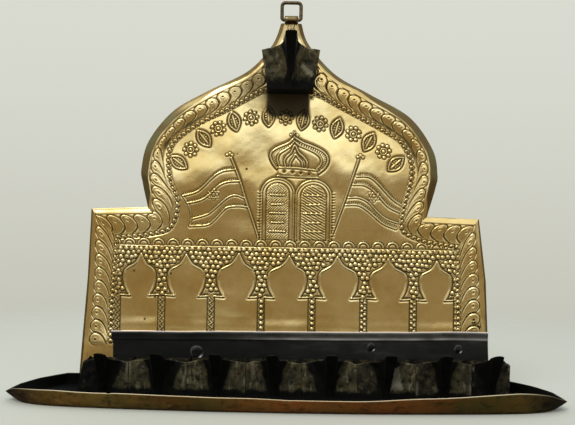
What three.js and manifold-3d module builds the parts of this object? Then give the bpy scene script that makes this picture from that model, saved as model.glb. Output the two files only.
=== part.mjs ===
// Brass oil lamp for eight nights: an ornamented backplate, a boat-shaped drip tray, a row of
// eight spouted oil cups, a servant cup on the neck and a hanging link.
// Millimetres. X runs along the tray, Z is up and the lamp faces -Y. Pieces are drawn with the back
// of the backplate at Y = 0; the whole lamp is then set with the origin under the middle of its tray.
import * as THREE from 'three';
import { mergeVertices } from 'three/addons/utils/BufferGeometryUtils.js';
import Module from 'manifold-3d';

const wasm = await Module();
wasm.setup();

// Clearances and cutting allowances
const fitGap = 0.3;
const cutOverrun = 1.5;
const fuseDepth = 0.4;

// Backplate, hand-cut from sheet and embossed from behind
const plateHalfWidth = 111;
const plateHeight = 197.3;
const plateFoot = 0.5;
const plateThickness = 1.0;
const borderRelief = 1.2;
const borderTopDrop = 7.3;

// Shares are taken across (of the half width) and up (of the height). Corners run from the foot up.
const leftCornerShares = [[0.963, 0.304], [0.951, 0.4845]];
const rightCornerShares = [[0.973, 0.304], [0.934, 0.474]];
const leftLobeShares = [
  [0.677, 0.4916], [0.7045, 0.558], [0.7117, 0.5966], [0.679, 0.6716], [0.566, 0.753],
  [0.410, 0.8074], [0.2027, 0.8677], [0.0865, 0.9397], [0.0441, 1],
];
const rightLobeShares = [
  [0.681, 0.4775], [0.7198, 0.5555], [0.7288, 0.5935], [0.7027, 0.6624], [0.588, 0.749],
  [0.391, 0.8104], [0.2216, 0.8632], [0.0928, 0.9427], [0.055, 1],
];
const leftBeadCornerShares = [[0.846, 0.210], [0.829, 0.361], [0.825, 0.408]];
const rightBeadCornerShares = [[0.842, 0.210], [0.836, 0.279], [0.832, 0.397]];
const leftBeadShares = [
  [0.684, 0.4151], [0.568, 0.4354], [0.532, 0.5038], [0.572, 0.5748], [0.569, 0.6569],
  [0.460, 0.7126], [0.301, 0.7608], [0.137, 0.8145],
];
const rightBeadShares = [
  [0.676, 0.4090], [0.566, 0.4379], [0.568, 0.4982], [0.605, 0.6006], [0.559, 0.6736],
  [0.465, 0.7106], [0.303, 0.7587], [0.166, 0.8008],
];
const beadLineTopShare = 0.831;
const lobeSteps = 30;
const beadLineSteps = 18;

// Embossed arcade of columns and pointed arches over the bare lower field
const arcadeRelief = 0.8;
const arcadeTopShare = 0.4004;
const archApexShare = 0.3624;
const archNeckShare = 0.2965;
const capitalShare = 0.251;
const shaftHalfWidth = 2.4;
const capitalHalfWidth = 6.7;
const neckHalfWidth = 3.5;
const columnShares = [-0.82, -0.604, -0.363, -0.119, 0.129, 0.379, 0.621, 0.836];
const flareSteps = 3;
const ogeeSteps = 6;

// Pair of embossed tablets with an onion-domed crown above
const motifRelief = 1.0;
const tabletGap = 0.8;
const tabletSeamShare = 0.036;
const tabletWidthShares = [0.157, 0.178];
const tabletFootShare = 0.4085;
const tabletShoulderShare = 0.532;
const tabletSteps = 10;
const crownMiddleShare = 0.0477;
const crownBandHalfShare = 0.0946;
const crownHalfShare = 0.1405;
const crownBandFootShare = 0.589;
const crownBandTopShare = 0.6102;
const crownTopShare = 0.697;
const crownShares = [[0.62, 0], [1, 0.3], [0.8, 0.6], [0.28, 0.8], [0, 1]];
const crownSteps = 8;

// Rolled tongue at the tip of the neck, and the hanging link that swings in it
const tongueHalfWidth = 3.7;
const linkWireRadius = 1.0;
const linkGap = 0.3;
const tongueRise = 1.7;
const curlAngle = THREE.MathUtils.degToRad(290);
const curlSteps = 20;
const linkHeight = 9.2;
const linkSideGap = 0.4;
const linkFootRadius = 1.2;
const linkTopRadius = 3.0;
const linkSides = 10;
const linkCornerSteps = 4;

// Boat-shaped drip tray of brass sheet
const trayMiddle = 1.3;
const trayHalfLength = 139.5;
const trayDepth = 61.5;
const trayThickness = 0.9;
const trayHeight = 6.6;
const trayFloorHalfLength = 130;
const trayFloorDepth = 58;
const rimBackShares = [[0.846, 0], [0.884, 0.1], [0.93, 0.24], [0.975, 0.44]];
const rimFrontShares = [[1, 0.64], [0.93, 0.79], [0.8, 0.88], [0.57, 0.945], [0.29, 0.985], [0, 1]];
const floorBackShares = [[0.9, 0], [0.938, 0.14], [0.97, 0.33], [0.99, 0.5]];
const floorFrontShares = [[1, 0.69], [0.955, 0.79], [0.85, 0.875], [0.61, 0.94], [0.31, 0.985], [0, 1]];
const rimHeightShares = [1, 0.98, 0.95, 0.85, 0.58, 0.85, 1, 1, 0.95, 0.88];
const frontSteps = 14;

// Dark tin strip with a folded top edge, in front of the plate behind the cups
const stripRightShare = 0.986;
const stripThickness = 0.8;
const stripClearance = 0.8;
const stripLeftTop = 30.2;
const stripRightTop = 32.8;
const stripHem = 5.0;

// Eight oil cups side by side, each pinched forward into a pouring spout
const cupRowLeftGap = 8.7;
const cupRowRightGap = 1.8;
const cupWidthShares = [0.12, 0.134, 0.136, 0.129, 0.129, 0.134, 0.129, 0.089];
const cupHeightShares = [0.9, 0.91, 0.93, 0.93, 0.95, 0.96, 0.98, 1];
const cupHeight = 19.2;
const cupDepth = 20.3;
const cupSheet = 0.8;
const spoutReach = 15.0;
const spoutRise = 6.2;
const spoutHalfWidth = 3.6;
const spoutRootHalfWidth = 9.0;
const keelHalfWidth = 1.3;
const keelReach = 1.6;
const cupRowShares = [0, 0.35, 0.7, 1];

// Servant cup, of the same kind, riveted to the neck of the plate
const servantDrop = 38.1;
const servantHeight = 20.6;
const servantFootWidth = 24;
const servantRimWidth = 30.2;
const servantDepth = 20.5;
const servantSpoutReach = 17.5;
const servantSpoutRise = 6.4;

// Rivets: three crude ones through the strip, four in the tray's back wall, two in the servant cup
const bigHeadRadius = 4.1;
const smallHeadRadius = 2.6;
const stripHeadHeight = 1.1;
const stripShankRadius = 1.5;
const stripRivets = [
  { name: 'strip_rivet_left', shares: [0.228, 0.64], head: bigHeadRadius },
  { name: 'strip_rivet_middle', shares: [0.691, 0.82], head: smallHeadRadius },
  { name: 'strip_rivet_right', shares: [0.922, 0.782], head: smallHeadRadius },
];
const trayRivetShares = [-0.86, -0.29, 0.29, 0.86];
const trayHeadRadius = 2.0;
const trayHeadHeight = 0.8;
const trayShankRadius = 1.0;
const servantHeadRadius = 2.2;
const servantHeadHeight = 0.8;
const servantShankRadius = 1.1;
const servantRivetSpread = 6;
const servantRivetShare = 0.573;
const rivetSides = 16;
const headSteps = 4;

// Places that follow from the sizes above
const neckMiddle = (rightLobeShares.at(-1)[0] - leftLobeShares.at(-1)[0]) / 2 * plateHalfWidth;
const stripFoot = trayHeight + stripClearance;
const borderLeftFoot = stripFoot + stripClearance;
const arcadeFoot = Math.max(stripLeftTop, stripRightTop) + stripClearance;
const borderTop = plateHeight - borderTopDrop;
const curlInner = linkWireRadius + linkGap;
const curlOuter = curlInner + plateThickness;
const pivotHeight = plateHeight + tongueRise;
const stripFace = plateThickness + stripThickness;
const trayWallFace = plateThickness + trayThickness;
const plateFace = plateThickness + borderRelief;
const servantInner = plateFace + cupSheet;
const servantFoot = plateHeight - servantDrop;
const cupBack = Math.max(stripFace + stripHeadHeight, trayWallFace + trayHeadHeight) + fitGap;
const trayRivetHeight = (trayHeight + trayThickness) / 2;
const floorCorner = floorBackShares[0][0] * trayFloorHalfLength;
const cupRowLeft = trayMiddle - floorCorner + cupRowLeftGap;
const cupRowRight = trayMiddle + floorCorner - cupRowRightGap;
const stripLeft = fitGap - leftBeadCornerShares[0][0] * plateHalfWidth;
const stripRight = stripRightShare * plateHalfWidth;

// Materials
function metal(color, roughness, metalness = 1) {
  return new THREE.MeshStandardMaterial({ color, roughness, metalness });
}

const polishedBrass = metal(0xb08d45, 0.3);
const agedBrass = metal(0x8a6a3a, 0.5);
const sootyTin = metal(0x35342e, 0.6, 0.8);
const darkTin = metal(0x3a3b39, 0.5, 0.9);
const dullIron = metal(0x55534c, 0.5, 0.9);
const wornBrass = metal(0x7c6d48, 0.4);

// Turns any closed geometry into bare positions with shared corners and outward faces
function closed(geometry) {
  const bare = geometry.clone();
  bare.deleteAttribute('normal');
  bare.deleteAttribute('uv');
  const merged = mergeVertices(bare);
  const place = merged.attributes.position;
  const index = Array.from(merged.index.array);
  const [a, b, c] = [new THREE.Vector3(), new THREE.Vector3(), new THREE.Vector3()];
  let volume = 0;
  for (let i = 0; i < index.length; i += 3) {
    a.fromBufferAttribute(place, index[i]);
    b.fromBufferAttribute(place, index[i + 1]);
    c.fromBufferAttribute(place, index[i + 2]);
    volume += a.dot(b.cross(c));
  }
  if (volume < 0) {
    index.reverse();
  }
  merged.setIndex(index);
  return merged;
}

function solid(geometry) {
  const shape = closed(geometry);
  return new wasm.Manifold(new wasm.Mesh({
    numProp: 3,
    vertProperties: shape.attributes.position.array,
    triVerts: new Uint32Array(shape.index.array),
  }));
}

function surface(manifold) {
  const mesh = manifold.getMesh();
  const geometry = new THREE.BufferGeometry();
  geometry.setAttribute('position', new THREE.BufferAttribute(mesh.vertProperties, mesh.numProp));
  geometry.setIndex(Array.from(mesh.triVerts));
  return geometry;
}

function piece(name, geometry, material) {
  const mesh = new THREE.Mesh(geometry, material);
  mesh.name = name;
  return mesh;
}

// An upright slab: the outline is in X and Z, the back is at Y = -back, and it is depth thick
function slab(points, back, depth) {
  const shape = new THREE.Shape(points);
  const geometry = new THREE.ExtrudeGeometry(shape, { depth, bevelEnabled: false });
  geometry.rotateX(Math.PI / 2);
  geometry.translate(0, -back, 0);
  return geometry;
}

function at(x, z) {
  return new THREE.Vector2(x, z);
}

// A point of the plate's outline, from its shares
function platePoint(side, [across, up]) {
  return at(side * across * plateHalfWidth, up * plateHeight);
}

function smooth(points, steps) {
  return new THREE.SplineCurve(points).getPoints(steps);
}

// Half of the plate's edge, or of the bead line inside it, from the foot to the neck
function halfLine(side, foot, corners, lobe, steps) {
  const straight = corners.map((share) => platePoint(side, share));
  const curved = smooth(lobe.map((share) => platePoint(side, share)), steps);
  return [foot, ...straight, ...curved];
}

function plateEdge(side) {
  const corners = side < 0 ? leftCornerShares : rightCornerShares;
  const lobe = side < 0 ? leftLobeShares : rightLobeShares;
  return halfLine(side, at(side * plateHalfWidth, plateFoot), corners, lobe, lobeSteps);
}

function plateOutline() {
  return [...plateEdge(-1), ...plateEdge(1).reverse()];
}

// The edge again, cut off below a height, so that the border can start above the strip or tray
function edgeAbove(side, foot) {
  const line = plateEdge(side);
  const next = line.findIndex((point) => point.y > foot);
  const [low, high] = [line[next - 1], line[next]];
  const share = (foot - low.y) / (high.y - low.y);
  const start = low.clone().lerp(high, share);
  return [start, ...line.slice(next).filter((point) => point.y < borderTop)];
}

function beadLine(side, foot) {
  const corners = side < 0 ? leftBeadCornerShares : rightBeadCornerShares;
  const lobe = side < 0 ? leftBeadShares : rightBeadShares;
  const start = at(platePoint(side, corners[0]).x, foot);
  return halfLine(side, start, corners, lobe, beadLineSteps);
}

// Raised border: down the left edge, over both lobes and down to the strip on the right
function borderOutline() {
  const outside = [...edgeAbove(-1, borderLeftFoot), ...edgeAbove(1, arcadeFoot).reverse()];
  const inside = [
    ...beadLine(1, arcadeFoot),
    at(neckMiddle, beadLineTopShare * plateHeight),
    ...beadLine(-1, borderLeftFoot).reverse(),
  ];
  return [...outside, ...inside];
}

// One side of an arch opening, from the foot of its column up to the point of the arch
function archSide(middle, column) {
  const side = Math.sign(column - middle);
  const shaft = column - side * shaftHalfWidth;
  const capital = column - side * capitalHalfWidth;
  const neck = column - side * neckHalfWidth;
  const heights = [capitalShare, archNeckShare, archApexShare];
  const [base, throat, apex] = heights.map((share) => share * plateHeight);
  const flare = smooth([
    at(capital, base),
    at(THREE.MathUtils.lerp(capital, neck, 0.7), THREE.MathUtils.lerp(base, throat, 0.5)),
    at(neck, throat),
  ], flareSteps);
  const ogee = smooth([
    at(neck, throat),
    at(THREE.MathUtils.lerp(neck, middle, 0.12), THREE.MathUtils.lerp(throat, apex, 0.35)),
    at(THREE.MathUtils.lerp(neck, middle, 0.68), THREE.MathUtils.lerp(throat, apex, 0.62)),
    at(middle, apex),
  ], ogeeSteps);
  return [at(shaft, arcadeFoot), at(shaft, base), ...flare, ...ogee.slice(1)];
}

function arcadeOutline() {
  const columns = columnShares.map((share) => share * plateHalfWidth);
  const [first, last] = [columns[0], columns[columns.length - 1]];
  const arcadeTop = arcadeTopShare * plateHeight;
  const points = [at(first, arcadeTop), at(first, arcadeFoot)];
  for (let i = 1; i < columns.length; i += 1) {
    const middle = (columns[i - 1] + columns[i]) / 2;
    const falling = archSide(middle, columns[i]).reverse();
    points.push(...archSide(middle, columns[i - 1]), ...falling.slice(1));
  }
  points.push(at(last, arcadeFoot), at(last, arcadeTop));
  return points;
}

function tabletOutline(left, right) {
  const radius = (right - left) / 2;
  const shoulder = tabletShoulderShare * plateHeight;
  const foot = tabletFootShare * plateHeight;
  const points = [at(left, foot), at(right, foot)];
  for (let i = 0; i <= tabletSteps; i += 1) {
    const angle = Math.PI * i / tabletSteps;
    points.push(at(left + radius + radius * Math.cos(angle), shoulder + radius * Math.sin(angle)));
  }
  return points;
}

function crownOutline() {
  const spread = (side, up) => platePoint(1, [crownMiddleShare + side, up]);
  const half = (side) => smooth(
    crownShares.map(([across, up]) => spread(
      side * across * crownHalfShare,
      THREE.MathUtils.lerp(crownBandTopShare, crownTopShare, up),
    )),
    crownSteps,
  );
  return [
    spread(-crownBandHalfShare, crownBandFootShare),
    ...half(-1),
    ...half(1).reverse().slice(1),
    spread(crownBandHalfShare, crownBandFootShare),
  ];
}

// The tongue's profile is seen from its side, with Y across and Z up
function tongue() {
  const ring = (radius) => Array.from({ length: curlSteps + 1 }, (_, i) => {
    const angle = curlAngle * i / curlSteps;
    return at(radius * Math.cos(angle) - curlOuter, radius * Math.sin(angle) + pivotHeight);
  });
  const root = plateHeight - tongueRise;
  const profile = [
    at(-plateThickness, root), at(0, root), ...ring(curlOuter), ...ring(curlInner).reverse(),
  ];
  const width = 2 * tongueHalfWidth;
  const shape = new THREE.Shape(profile);
  const geometry = new THREE.ExtrudeGeometry(shape, { depth: width, bevelEnabled: false });
  geometry.rotateX(Math.PI / 2);
  geometry.rotateZ(Math.PI / 2);
  geometry.translate(neckMiddle - tongueHalfWidth, 0, 0);
  return geometry;
}

// A turned rivet lying along Y: domed head in front, plain shank, flush at its back
function rivet(x, z, face, back, headRadius, headHeight, shankRadius) {
  const points = [];
  for (let i = 0; i <= headSteps; i += 1) {
    const angle = Math.PI / 2 * i / headSteps;
    points.push(at(headRadius * Math.sin(angle), -face - headHeight * Math.cos(angle)));
  }
  points.push(at(shankRadius, -face), at(shankRadius, -back), at(0, -back));
  const geometry = new THREE.LatheGeometry(points, rivetSides);
  geometry.translate(x, 0, z);
  return geometry;
}

function rivetHole(x, z, face, back, shankRadius) {
  const length = face - back + 2 * cutOverrun;
  const radius = shankRadius + fitGap;
  const geometry = new THREE.CylinderGeometry(radius, radius, length, rivetSides);
  geometry.translate(x, -(face + back) / 2, z);
  return geometry;
}

function drilled(body, holes) {
  return holes.reduce((result, hole) => result.subtract(solid(hole)), body);
}

// A place on the strip, from its left end and from its foot to the folded edge
function stripPoint([along, up]) {
  const foldFoot = THREE.MathUtils.lerp(stripLeftTop, stripRightTop, along) - stripHem;
  const x = THREE.MathUtils.lerp(stripLeft, stripRight, along);
  return at(x, THREE.MathUtils.lerp(stripFoot, foldFoot, up));
}

function stripHoles() {
  return stripRivets.map(({ shares }) => {
    const point = stripPoint(shares);
    return rivetHole(point.x, point.y, stripFace, 0, stripShankRadius);
  });
}

function trayHoles() {
  return trayRivetShares.map((share) => (
    rivetHole(share * plateHalfWidth, trayRivetHeight, trayWallFace, 0, trayShankRadius)
  ));
}

function servantRivetPlaces() {
  const height = servantFoot + servantRivetShare * servantHeight;
  return [-1, 1].map((side) => at(neckMiddle + side * servantRivetSpread, height));
}

function servantHoles() {
  return servantRivetPlaces().map((point) => (
    rivetHole(point.x, point.y, servantInner, 0, servantShankRadius)
  ));
}

function backplate() {
  const raised = (points, relief) => solid(slab(points, plateThickness - fuseDepth, relief + fuseDepth));
  const seam = tabletSeamShare * plateHalfWidth;
  const [leftWidth, rightWidth] = tabletWidthShares.map((share) => share * plateHalfWidth);
  let body = solid(slab(plateOutline(), 0, plateThickness))
    .add(raised(borderOutline(), borderRelief))
    .add(raised(arcadeOutline(), arcadeRelief))
    .add(raised(tabletOutline(seam - tabletGap / 2 - leftWidth, seam - tabletGap / 2), motifRelief))
    .add(raised(tabletOutline(seam + tabletGap / 2, seam + tabletGap / 2 + rightWidth), motifRelief))
    .add(raised(crownOutline(), motifRelief))
    .add(solid(tongue()));
  body = drilled(body, [...stripHoles(), ...trayHoles(), ...servantHoles()]);
  return piece('backplate', surface(body), polishedBrass);
}

// A closed loop of round wire in an upright plane through the curl's centre
function hangingLink() {
  const half = tongueHalfWidth + linkSideGap + linkWireRadius;
  const corners = [
    [half, pivotHeight, linkFootRadius, -90], [half, pivotHeight + linkHeight, linkTopRadius, 0],
    [-half, pivotHeight + linkHeight, linkTopRadius, 90], [-half, pivotHeight, linkFootRadius, 180],
  ];
  const path = corners.flatMap(([x, z, radius, start]) => {
    const [cx, cz] = [x - Math.sign(x) * radius, z === pivotHeight ? z + radius : z - radius];
    return Array.from({ length: linkCornerSteps + 1 }, (_, i) => {
      const angle = THREE.MathUtils.degToRad(start + 90 * i / linkCornerSteps);
      return at(neckMiddle + cx + radius * Math.cos(angle), cz + radius * Math.sin(angle));
    });
  });
  const positions = [];
  path.forEach((point, i) => {
    const before = path[(i + path.length - 1) % path.length];
    const after = path[(i + 1) % path.length];
    const ahead = after.clone().sub(before).normalize();
    for (let j = 0; j < linkSides; j += 1) {
      const angle = 2 * Math.PI * j / linkSides;
      const out = linkWireRadius * Math.cos(angle);
      const side = linkWireRadius * Math.sin(angle);
      positions.push(point.x + ahead.y * out, side - curlOuter, point.y - ahead.x * out);
    }
  });
  const index = [];
  for (let i = 0; i < path.length; i += 1) {
    for (let j = 0; j < linkSides; j += 1) {
      const [here, next] = [i * linkSides, ((i + 1) % path.length) * linkSides];
      const turn = (j + 1) % linkSides;
      index.push(here + j, next + j, next + turn, here + j, next + turn, here + turn);
    }
  }
  const geometry = new THREE.BufferGeometry();
  geometry.setAttribute('position', new THREE.Float32BufferAttribute(positions, 3));
  geometry.setIndex(index);
  return piece('hanging_link', closed(geometry), wornBrass);
}

// An open vessel of sheet: rings of outside points from the foot up, then inside ones going down
function vessel(outside, inside) {
  const rings = [...outside, ...inside];
  const count = rings[0].length;
  const positions = rings.flatMap((ring) => ring.flatMap((point) => [point.x, point.y, point.z]));
  const index = [];
  for (let i = 0; i + 1 < rings.length; i += 1) {
    for (let j = 0; j < count; j += 1) {
      const next = (j + 1) % count;
      const [a, b, c, d] = [i * count + j, i * count + next, (i + 1) * count + next, (i + 1) * count + j];
      index.push(a, b, c, a, c, d);
    }
  }
  const cap = (ring, first, flip) => {
    const faces = THREE.ShapeUtils.triangulateShape(ring.map((point) => at(point.x, point.y)), []);
    faces.forEach(([a, b, c]) => {
      index.push(...(flip ? [first + a, first + c, first + b] : [first + a, first + b, first + c]));
    });
  };
  cap(rings[0], 0, true);
  cap(rings[rings.length - 1], (rings.length - 1) * count, false);
  const geometry = new THREE.BufferGeometry();
  geometry.setAttribute('position', new THREE.Float32BufferAttribute(positions, 3));
  geometry.setIndex(index);
  return closed(geometry);
}

// The same ring a sheet's thickness further in, corner by corner, at its own heights
function inset(ring, distance, drop = 0) {
  const count = ring.length;
  return ring.map((point, i) => {
    const before = ring[(i + count - 1) % count];
    const after = ring[(i + 1) % count];
    const into = at(point.x - before.x, point.y - before.y).normalize();
    const outOf = at(after.x - point.x, after.y - point.y).normalize();
    const normal = at(-into.y - outOf.y, into.x + outOf.x).normalize();
    const reach = distance / Math.max(normal.x * -into.y + normal.y * into.x, 0.5);
    return new THREE.Vector3(point.x + normal.x * reach, point.y + normal.y * reach, point.z + drop);
  });
}

// A tray ring seen from above, counter-clockwise from the back right corner
function trayRing(halfLength, depth, backShares, frontShares, heights) {
  const place = (side) => ([along, forward]) => (
    at(trayMiddle + side * along * halfLength, -plateThickness - forward * depth)
  );
  const side = (sign) => [
    ...smooth(backShares.map(place(sign)), backShares.length - 1),
    ...smooth(frontShares.map(place(sign)), frontSteps),
  ];
  const [left, right] = [side(-1), side(1).reverse().slice(1)];
  const share = (i) => {
    const t = i < backShares.length ? i : backShares.length + (i - backShares.length)
      * (frontShares.length - 1) / frontSteps;
    const low = Math.min(Math.floor(t), heights.length - 2);
    return THREE.MathUtils.lerp(heights[low], heights[low + 1], t - low);
  };
  const count = left.length;
  return [
    ...left.map((point, i) => new THREE.Vector3(point.x, point.y, trayHeight * share(i))),
    ...right.map((point, i) => new THREE.Vector3(point.x, point.y, trayHeight * share(count - 2 - i))),
  ];
}

function level(ring, z) {
  return ring.map((point) => new THREE.Vector3(point.x, point.y, z));
}

function tray() {
  const rim = trayRing(trayHalfLength, trayDepth, rimBackShares, rimFrontShares, rimHeightShares);
  const floor = trayRing(
    trayFloorHalfLength, trayFloorDepth, floorBackShares, floorFrontShares, rimHeightShares,
  );
  const shell = vessel(
    [level(floor, 0), rim],
    [inset(rim, trayThickness), level(inset(floor, trayThickness), trayThickness)],
  );
  return piece('drip_tray', surface(drilled(solid(shell), trayHoles())), agedBrass);
}

function backStrip() {
  const [left, right] = [stripLeft, stripRight];
  const sheet = (foot) => [
    at(left, stripLeftTop - foot), at(right, stripRightTop - foot),
    at(right, stripRightTop), at(left, stripLeftTop),
  ];
  const flat = [at(left, stripFoot), at(right, stripFoot), at(right, stripRightTop), at(left, stripLeftTop)];
  const body = solid(slab(flat, plateThickness, stripThickness))
    .add(solid(slab(sheet(stripHem), stripFace - fuseDepth, stripThickness + fuseDepth)));
  return piece('back_strip', surface(drilled(body, stripHoles())), darkTin);
}

// A cup's outline from above at one height. Its spout grows from a narrow keel to an open lip.
function cupRing(form, share) {
  const half = THREE.MathUtils.lerp(form.footWidth, form.rimWidth, share) / 2;
  const open = share ** 1.6;
  const lip = THREE.MathUtils.lerp(keelHalfWidth, spoutHalfWidth, open);
  const root = THREE.MathUtils.lerp(keelHalfWidth * 2, spoutRootHalfWidth * form.rimWidth / form.width, open);
  const reach = THREE.MathUtils.lerp(keelReach, form.reach, open);
  const rise = form.rise * open;
  const z = form.foot + form.height * share;
  const [back, front] = [-form.back, -form.front];
  const plan = [
    [-half, back, 0], [-half, front, 0], [-Math.min(root, half * 0.72), front, 0.06],
    [-lip * 1.1, front - reach * 0.55, 0.5], [-lip, front - reach, 1],
    [lip, front - reach, 1], [lip * 1.1, front - reach * 0.55, 0.5],
    [Math.min(root, half * 0.72), front, 0.06], [half, front, 0], [half, back, 0],
  ];
  return plan.map(([x, y, lift]) => new THREE.Vector3(form.middle + x, y, z + rise * lift));
}

function cupShell(form) {
  const outside = cupRowShares.map((share) => cupRing(form, share));
  const inside = [...outside].reverse().map((ring, i) => (
    inset(ring, cupSheet, i === cupRowShares.length - 1 ? cupSheet : 0)
  ));
  return vessel(outside, inside);
}

function oilCups() {
  const rowLength = cupRowRight - cupRowLeft;
  let left = cupRowLeft;
  return cupWidthShares.map((share, i) => {
    const width = share * rowLength - fitGap;
    const form = {
      middle: left + fitGap / 2 + width / 2,
      width,
      footWidth: width,
      rimWidth: width,
      foot: trayThickness,
      height: cupHeight * cupHeightShares[i] - trayThickness,
      back: cupBack,
      front: cupBack + cupDepth,
      reach: spoutReach,
      rise: spoutRise,
    };
    left += share * rowLength;
    return piece(`oil_cup_${i + 1}`, cupShell(form), sootyTin);
  });
}

function servantCup() {
  const form = {
    middle: neckMiddle,
    width: servantRimWidth,
    footWidth: servantFootWidth,
    rimWidth: servantRimWidth,
    foot: servantFoot,
    height: servantHeight,
    back: plateFace,
    front: plateFace + servantDepth,
    reach: servantSpoutReach,
    rise: servantSpoutRise,
  };
  return piece('servant_cup', surface(drilled(solid(cupShell(form)), servantHoles())), sootyTin);
}

function rivets() {
  const strip = stripRivets.map(({ name, shares, head }) => {
    const point = stripPoint(shares);
    return piece(name, closed(rivet(
      point.x, point.y, stripFace, 0, head, stripHeadHeight, stripShankRadius,
    )), dullIron);
  });
  const trayOnes = trayRivetShares.map((share, i) => piece(`tray_rivet_${i + 1}`, closed(rivet(
    share * plateHalfWidth, trayRivetHeight, trayWallFace, 0, trayHeadRadius, trayHeadHeight, trayShankRadius,
  )), agedBrass));
  const servantOnes = servantRivetPlaces().map((point, i) => piece(`servant_rivet_${i + 1}`, closed(rivet(
    point.x, point.y, servantInner, 0, servantHeadRadius, servantHeadHeight, servantShankRadius,
  )), dullIron));
  return [...strip, ...trayOnes, ...servantOnes];
}

const lamp = new THREE.Group();
lamp.position.y = plateThickness + trayFloorDepth / 2;
lamp.add(backplate(), tray(), backStrip(), ...oilCups(), servantCup(), ...rivets(), hangingLink());

export default lamp;
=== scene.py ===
import math

import bpy
import numpy as np
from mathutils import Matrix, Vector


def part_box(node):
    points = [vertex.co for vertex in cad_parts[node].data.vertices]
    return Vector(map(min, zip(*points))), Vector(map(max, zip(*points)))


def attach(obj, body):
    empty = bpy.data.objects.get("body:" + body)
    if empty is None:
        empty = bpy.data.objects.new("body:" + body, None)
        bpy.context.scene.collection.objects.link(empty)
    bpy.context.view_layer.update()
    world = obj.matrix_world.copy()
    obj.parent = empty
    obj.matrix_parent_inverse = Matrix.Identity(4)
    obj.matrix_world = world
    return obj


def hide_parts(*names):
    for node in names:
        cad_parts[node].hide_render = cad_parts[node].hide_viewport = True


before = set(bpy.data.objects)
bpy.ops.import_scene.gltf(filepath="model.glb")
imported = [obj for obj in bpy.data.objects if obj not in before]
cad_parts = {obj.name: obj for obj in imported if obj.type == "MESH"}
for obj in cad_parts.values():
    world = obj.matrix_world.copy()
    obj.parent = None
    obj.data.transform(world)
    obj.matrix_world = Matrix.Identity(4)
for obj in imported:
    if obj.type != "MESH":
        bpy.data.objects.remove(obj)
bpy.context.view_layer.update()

lampBack = 30.0  # millimetres from the origin back to the backplate's rear face


# Helpers. Work is in millimetres: x across, out from the plate's rear face towards the front, z up

def spots(x, out, z):
    # a place in the frame, in metres, is x, the rear face less the distance out, and z
    x, out, z = np.broadcast_arrays(x, out, z)
    return np.stack([x, lampBack - out, z], -1).reshape(-1, 3) * 0.001


def ease(low, high, value):
    # 0 up to low, 1 from high on, and 3t² − 2t³ between them
    t = np.clip((value - low) / (high - low), 0, 1)
    return t * t * (3 - 2 * t)


def bell(value, width):
    # 1 at nought, falling off either side as exp(-(value/width)²)
    return np.exp(-((value / width) ** 2))


def throughPoints(points, steps):
    # uniform Catmull-Rom curve: each stretch leaves a point along the line between its neighbours
    p = np.asarray(points, float)
    t = np.linspace(0, len(p) - 1, steps + 1)
    i = np.minimum(t.astype(int), len(p) - 2)
    w = (t - i).reshape(-1, *[1] * (p.ndim - 1))
    a, b, c, d = p[np.maximum(i - 1, 0)], p[i], p[i + 1], p[np.minimum(i + 2, len(p) - 1)]
    u, v = (c - a) / 2, (d - b) / 2
    return (2 * b - 2 * c + u + v) * w**3 + (3 * c - 3 * b - 2 * u - v) * w**2 + u * w + b


def runOf(path):
    # distance gone along a path at each of its points
    return np.r_[0, np.cumsum(np.linalg.norm(np.diff(path, axis=0), axis=1))]


def evenly(path, count):
    # the same path in count points at equal distances along it
    run = runOf(path)
    at = np.linspace(0, run[-1], count)
    return np.stack([np.interp(at, run, side) for side in path.T], -1)


def nearest(x, z, path, closed=False):
    # shortest distance from each place to the path, stretch by stretch
    ends = list(zip(path[:-1], path[1:])) + ([(path[-1], path[0])] if closed else [])
    best = np.full(np.shape(x), 1e9)
    for (ax, az), (bx, bz) in ends:
        dx, dz = bx - ax, bz - az
        t = np.clip(((x - ax) * dx + (z - az) * dz) / max(dx * dx + dz * dz, 1e-9), 0, 1)
        best = np.minimum(best, (x - ax - t * dx) ** 2 + (z - az - t * dz) ** 2)
    return np.sqrt(best)


def inside(x, z, path):
    # a place lies in a closed path when a line from it crosses the path an odd number of times
    crossed = np.zeros(np.shape(x), bool)
    for (ax, az), (bx, bz) in zip(path, np.roll(path, -1, axis=0)):
        if az != bz:
            level = (az > z) != (bz > z)
            crossed ^= level & (x < ax + (z - az) * (bx - ax) / (bz - az))
    return crossed


def waves(x, z, length, count, seed):
    # sum of count sine waves of about that length, each in its own direction and phase, from -1 to 1
    rng = np.random.default_rng(seed)
    total = np.zeros(np.shape(x))
    for turn, start, stretch in rng.uniform(0, 1, (count, 3)):
        angle, reach = turn * math.pi, length * (0.6 + 1.1 * stretch)
        total += np.sin((x * math.cos(angle) + z * math.sin(angle)) * math.tau / reach + start * math.tau)
    return total / math.sqrt(count) / 1.6


def headings(path):
    # which way a path goes at each of its points, in lengths of 1
    way = np.gradient(path, axis=0)
    return way / np.linalg.norm(way, axis=1)[:, None]


def blurred(sheet, reach):
    # each value becomes the bell-weighted mean of its row, then of its column, out to reach places
    weights = bell(np.arange(-reach, reach + 1), reach / 2)
    for axis in (0, 1):
        margin = [(reach, reach) if axis == side else (0, 0) for side in (0, 1)]
        wide, count = np.pad(sheet, margin, mode="edge"), sheet.shape[axis]
        shifted = [w * np.take(wide, np.arange(k, k + count), axis) for k, w in enumerate(weights)]
        sheet = sum(shifted) / weights.sum()
    return sheet


def gridFaces(rows, columns, roundRows=False, roundColumns=False, first=0):
    # four-cornered faces between neighbours on a grid, joined end to end where it goes round
    i = np.arange(rows if roundRows else rows - 1)[:, None]
    j = np.arange(columns if roundColumns else columns - 1)[None, :]
    a, b = i * columns, (i + 1) % rows * columns
    k = (j + 1) % columns
    return np.stack([a + j, a + k, b + k, b + j], -1).reshape(-1, 4) + first


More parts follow.
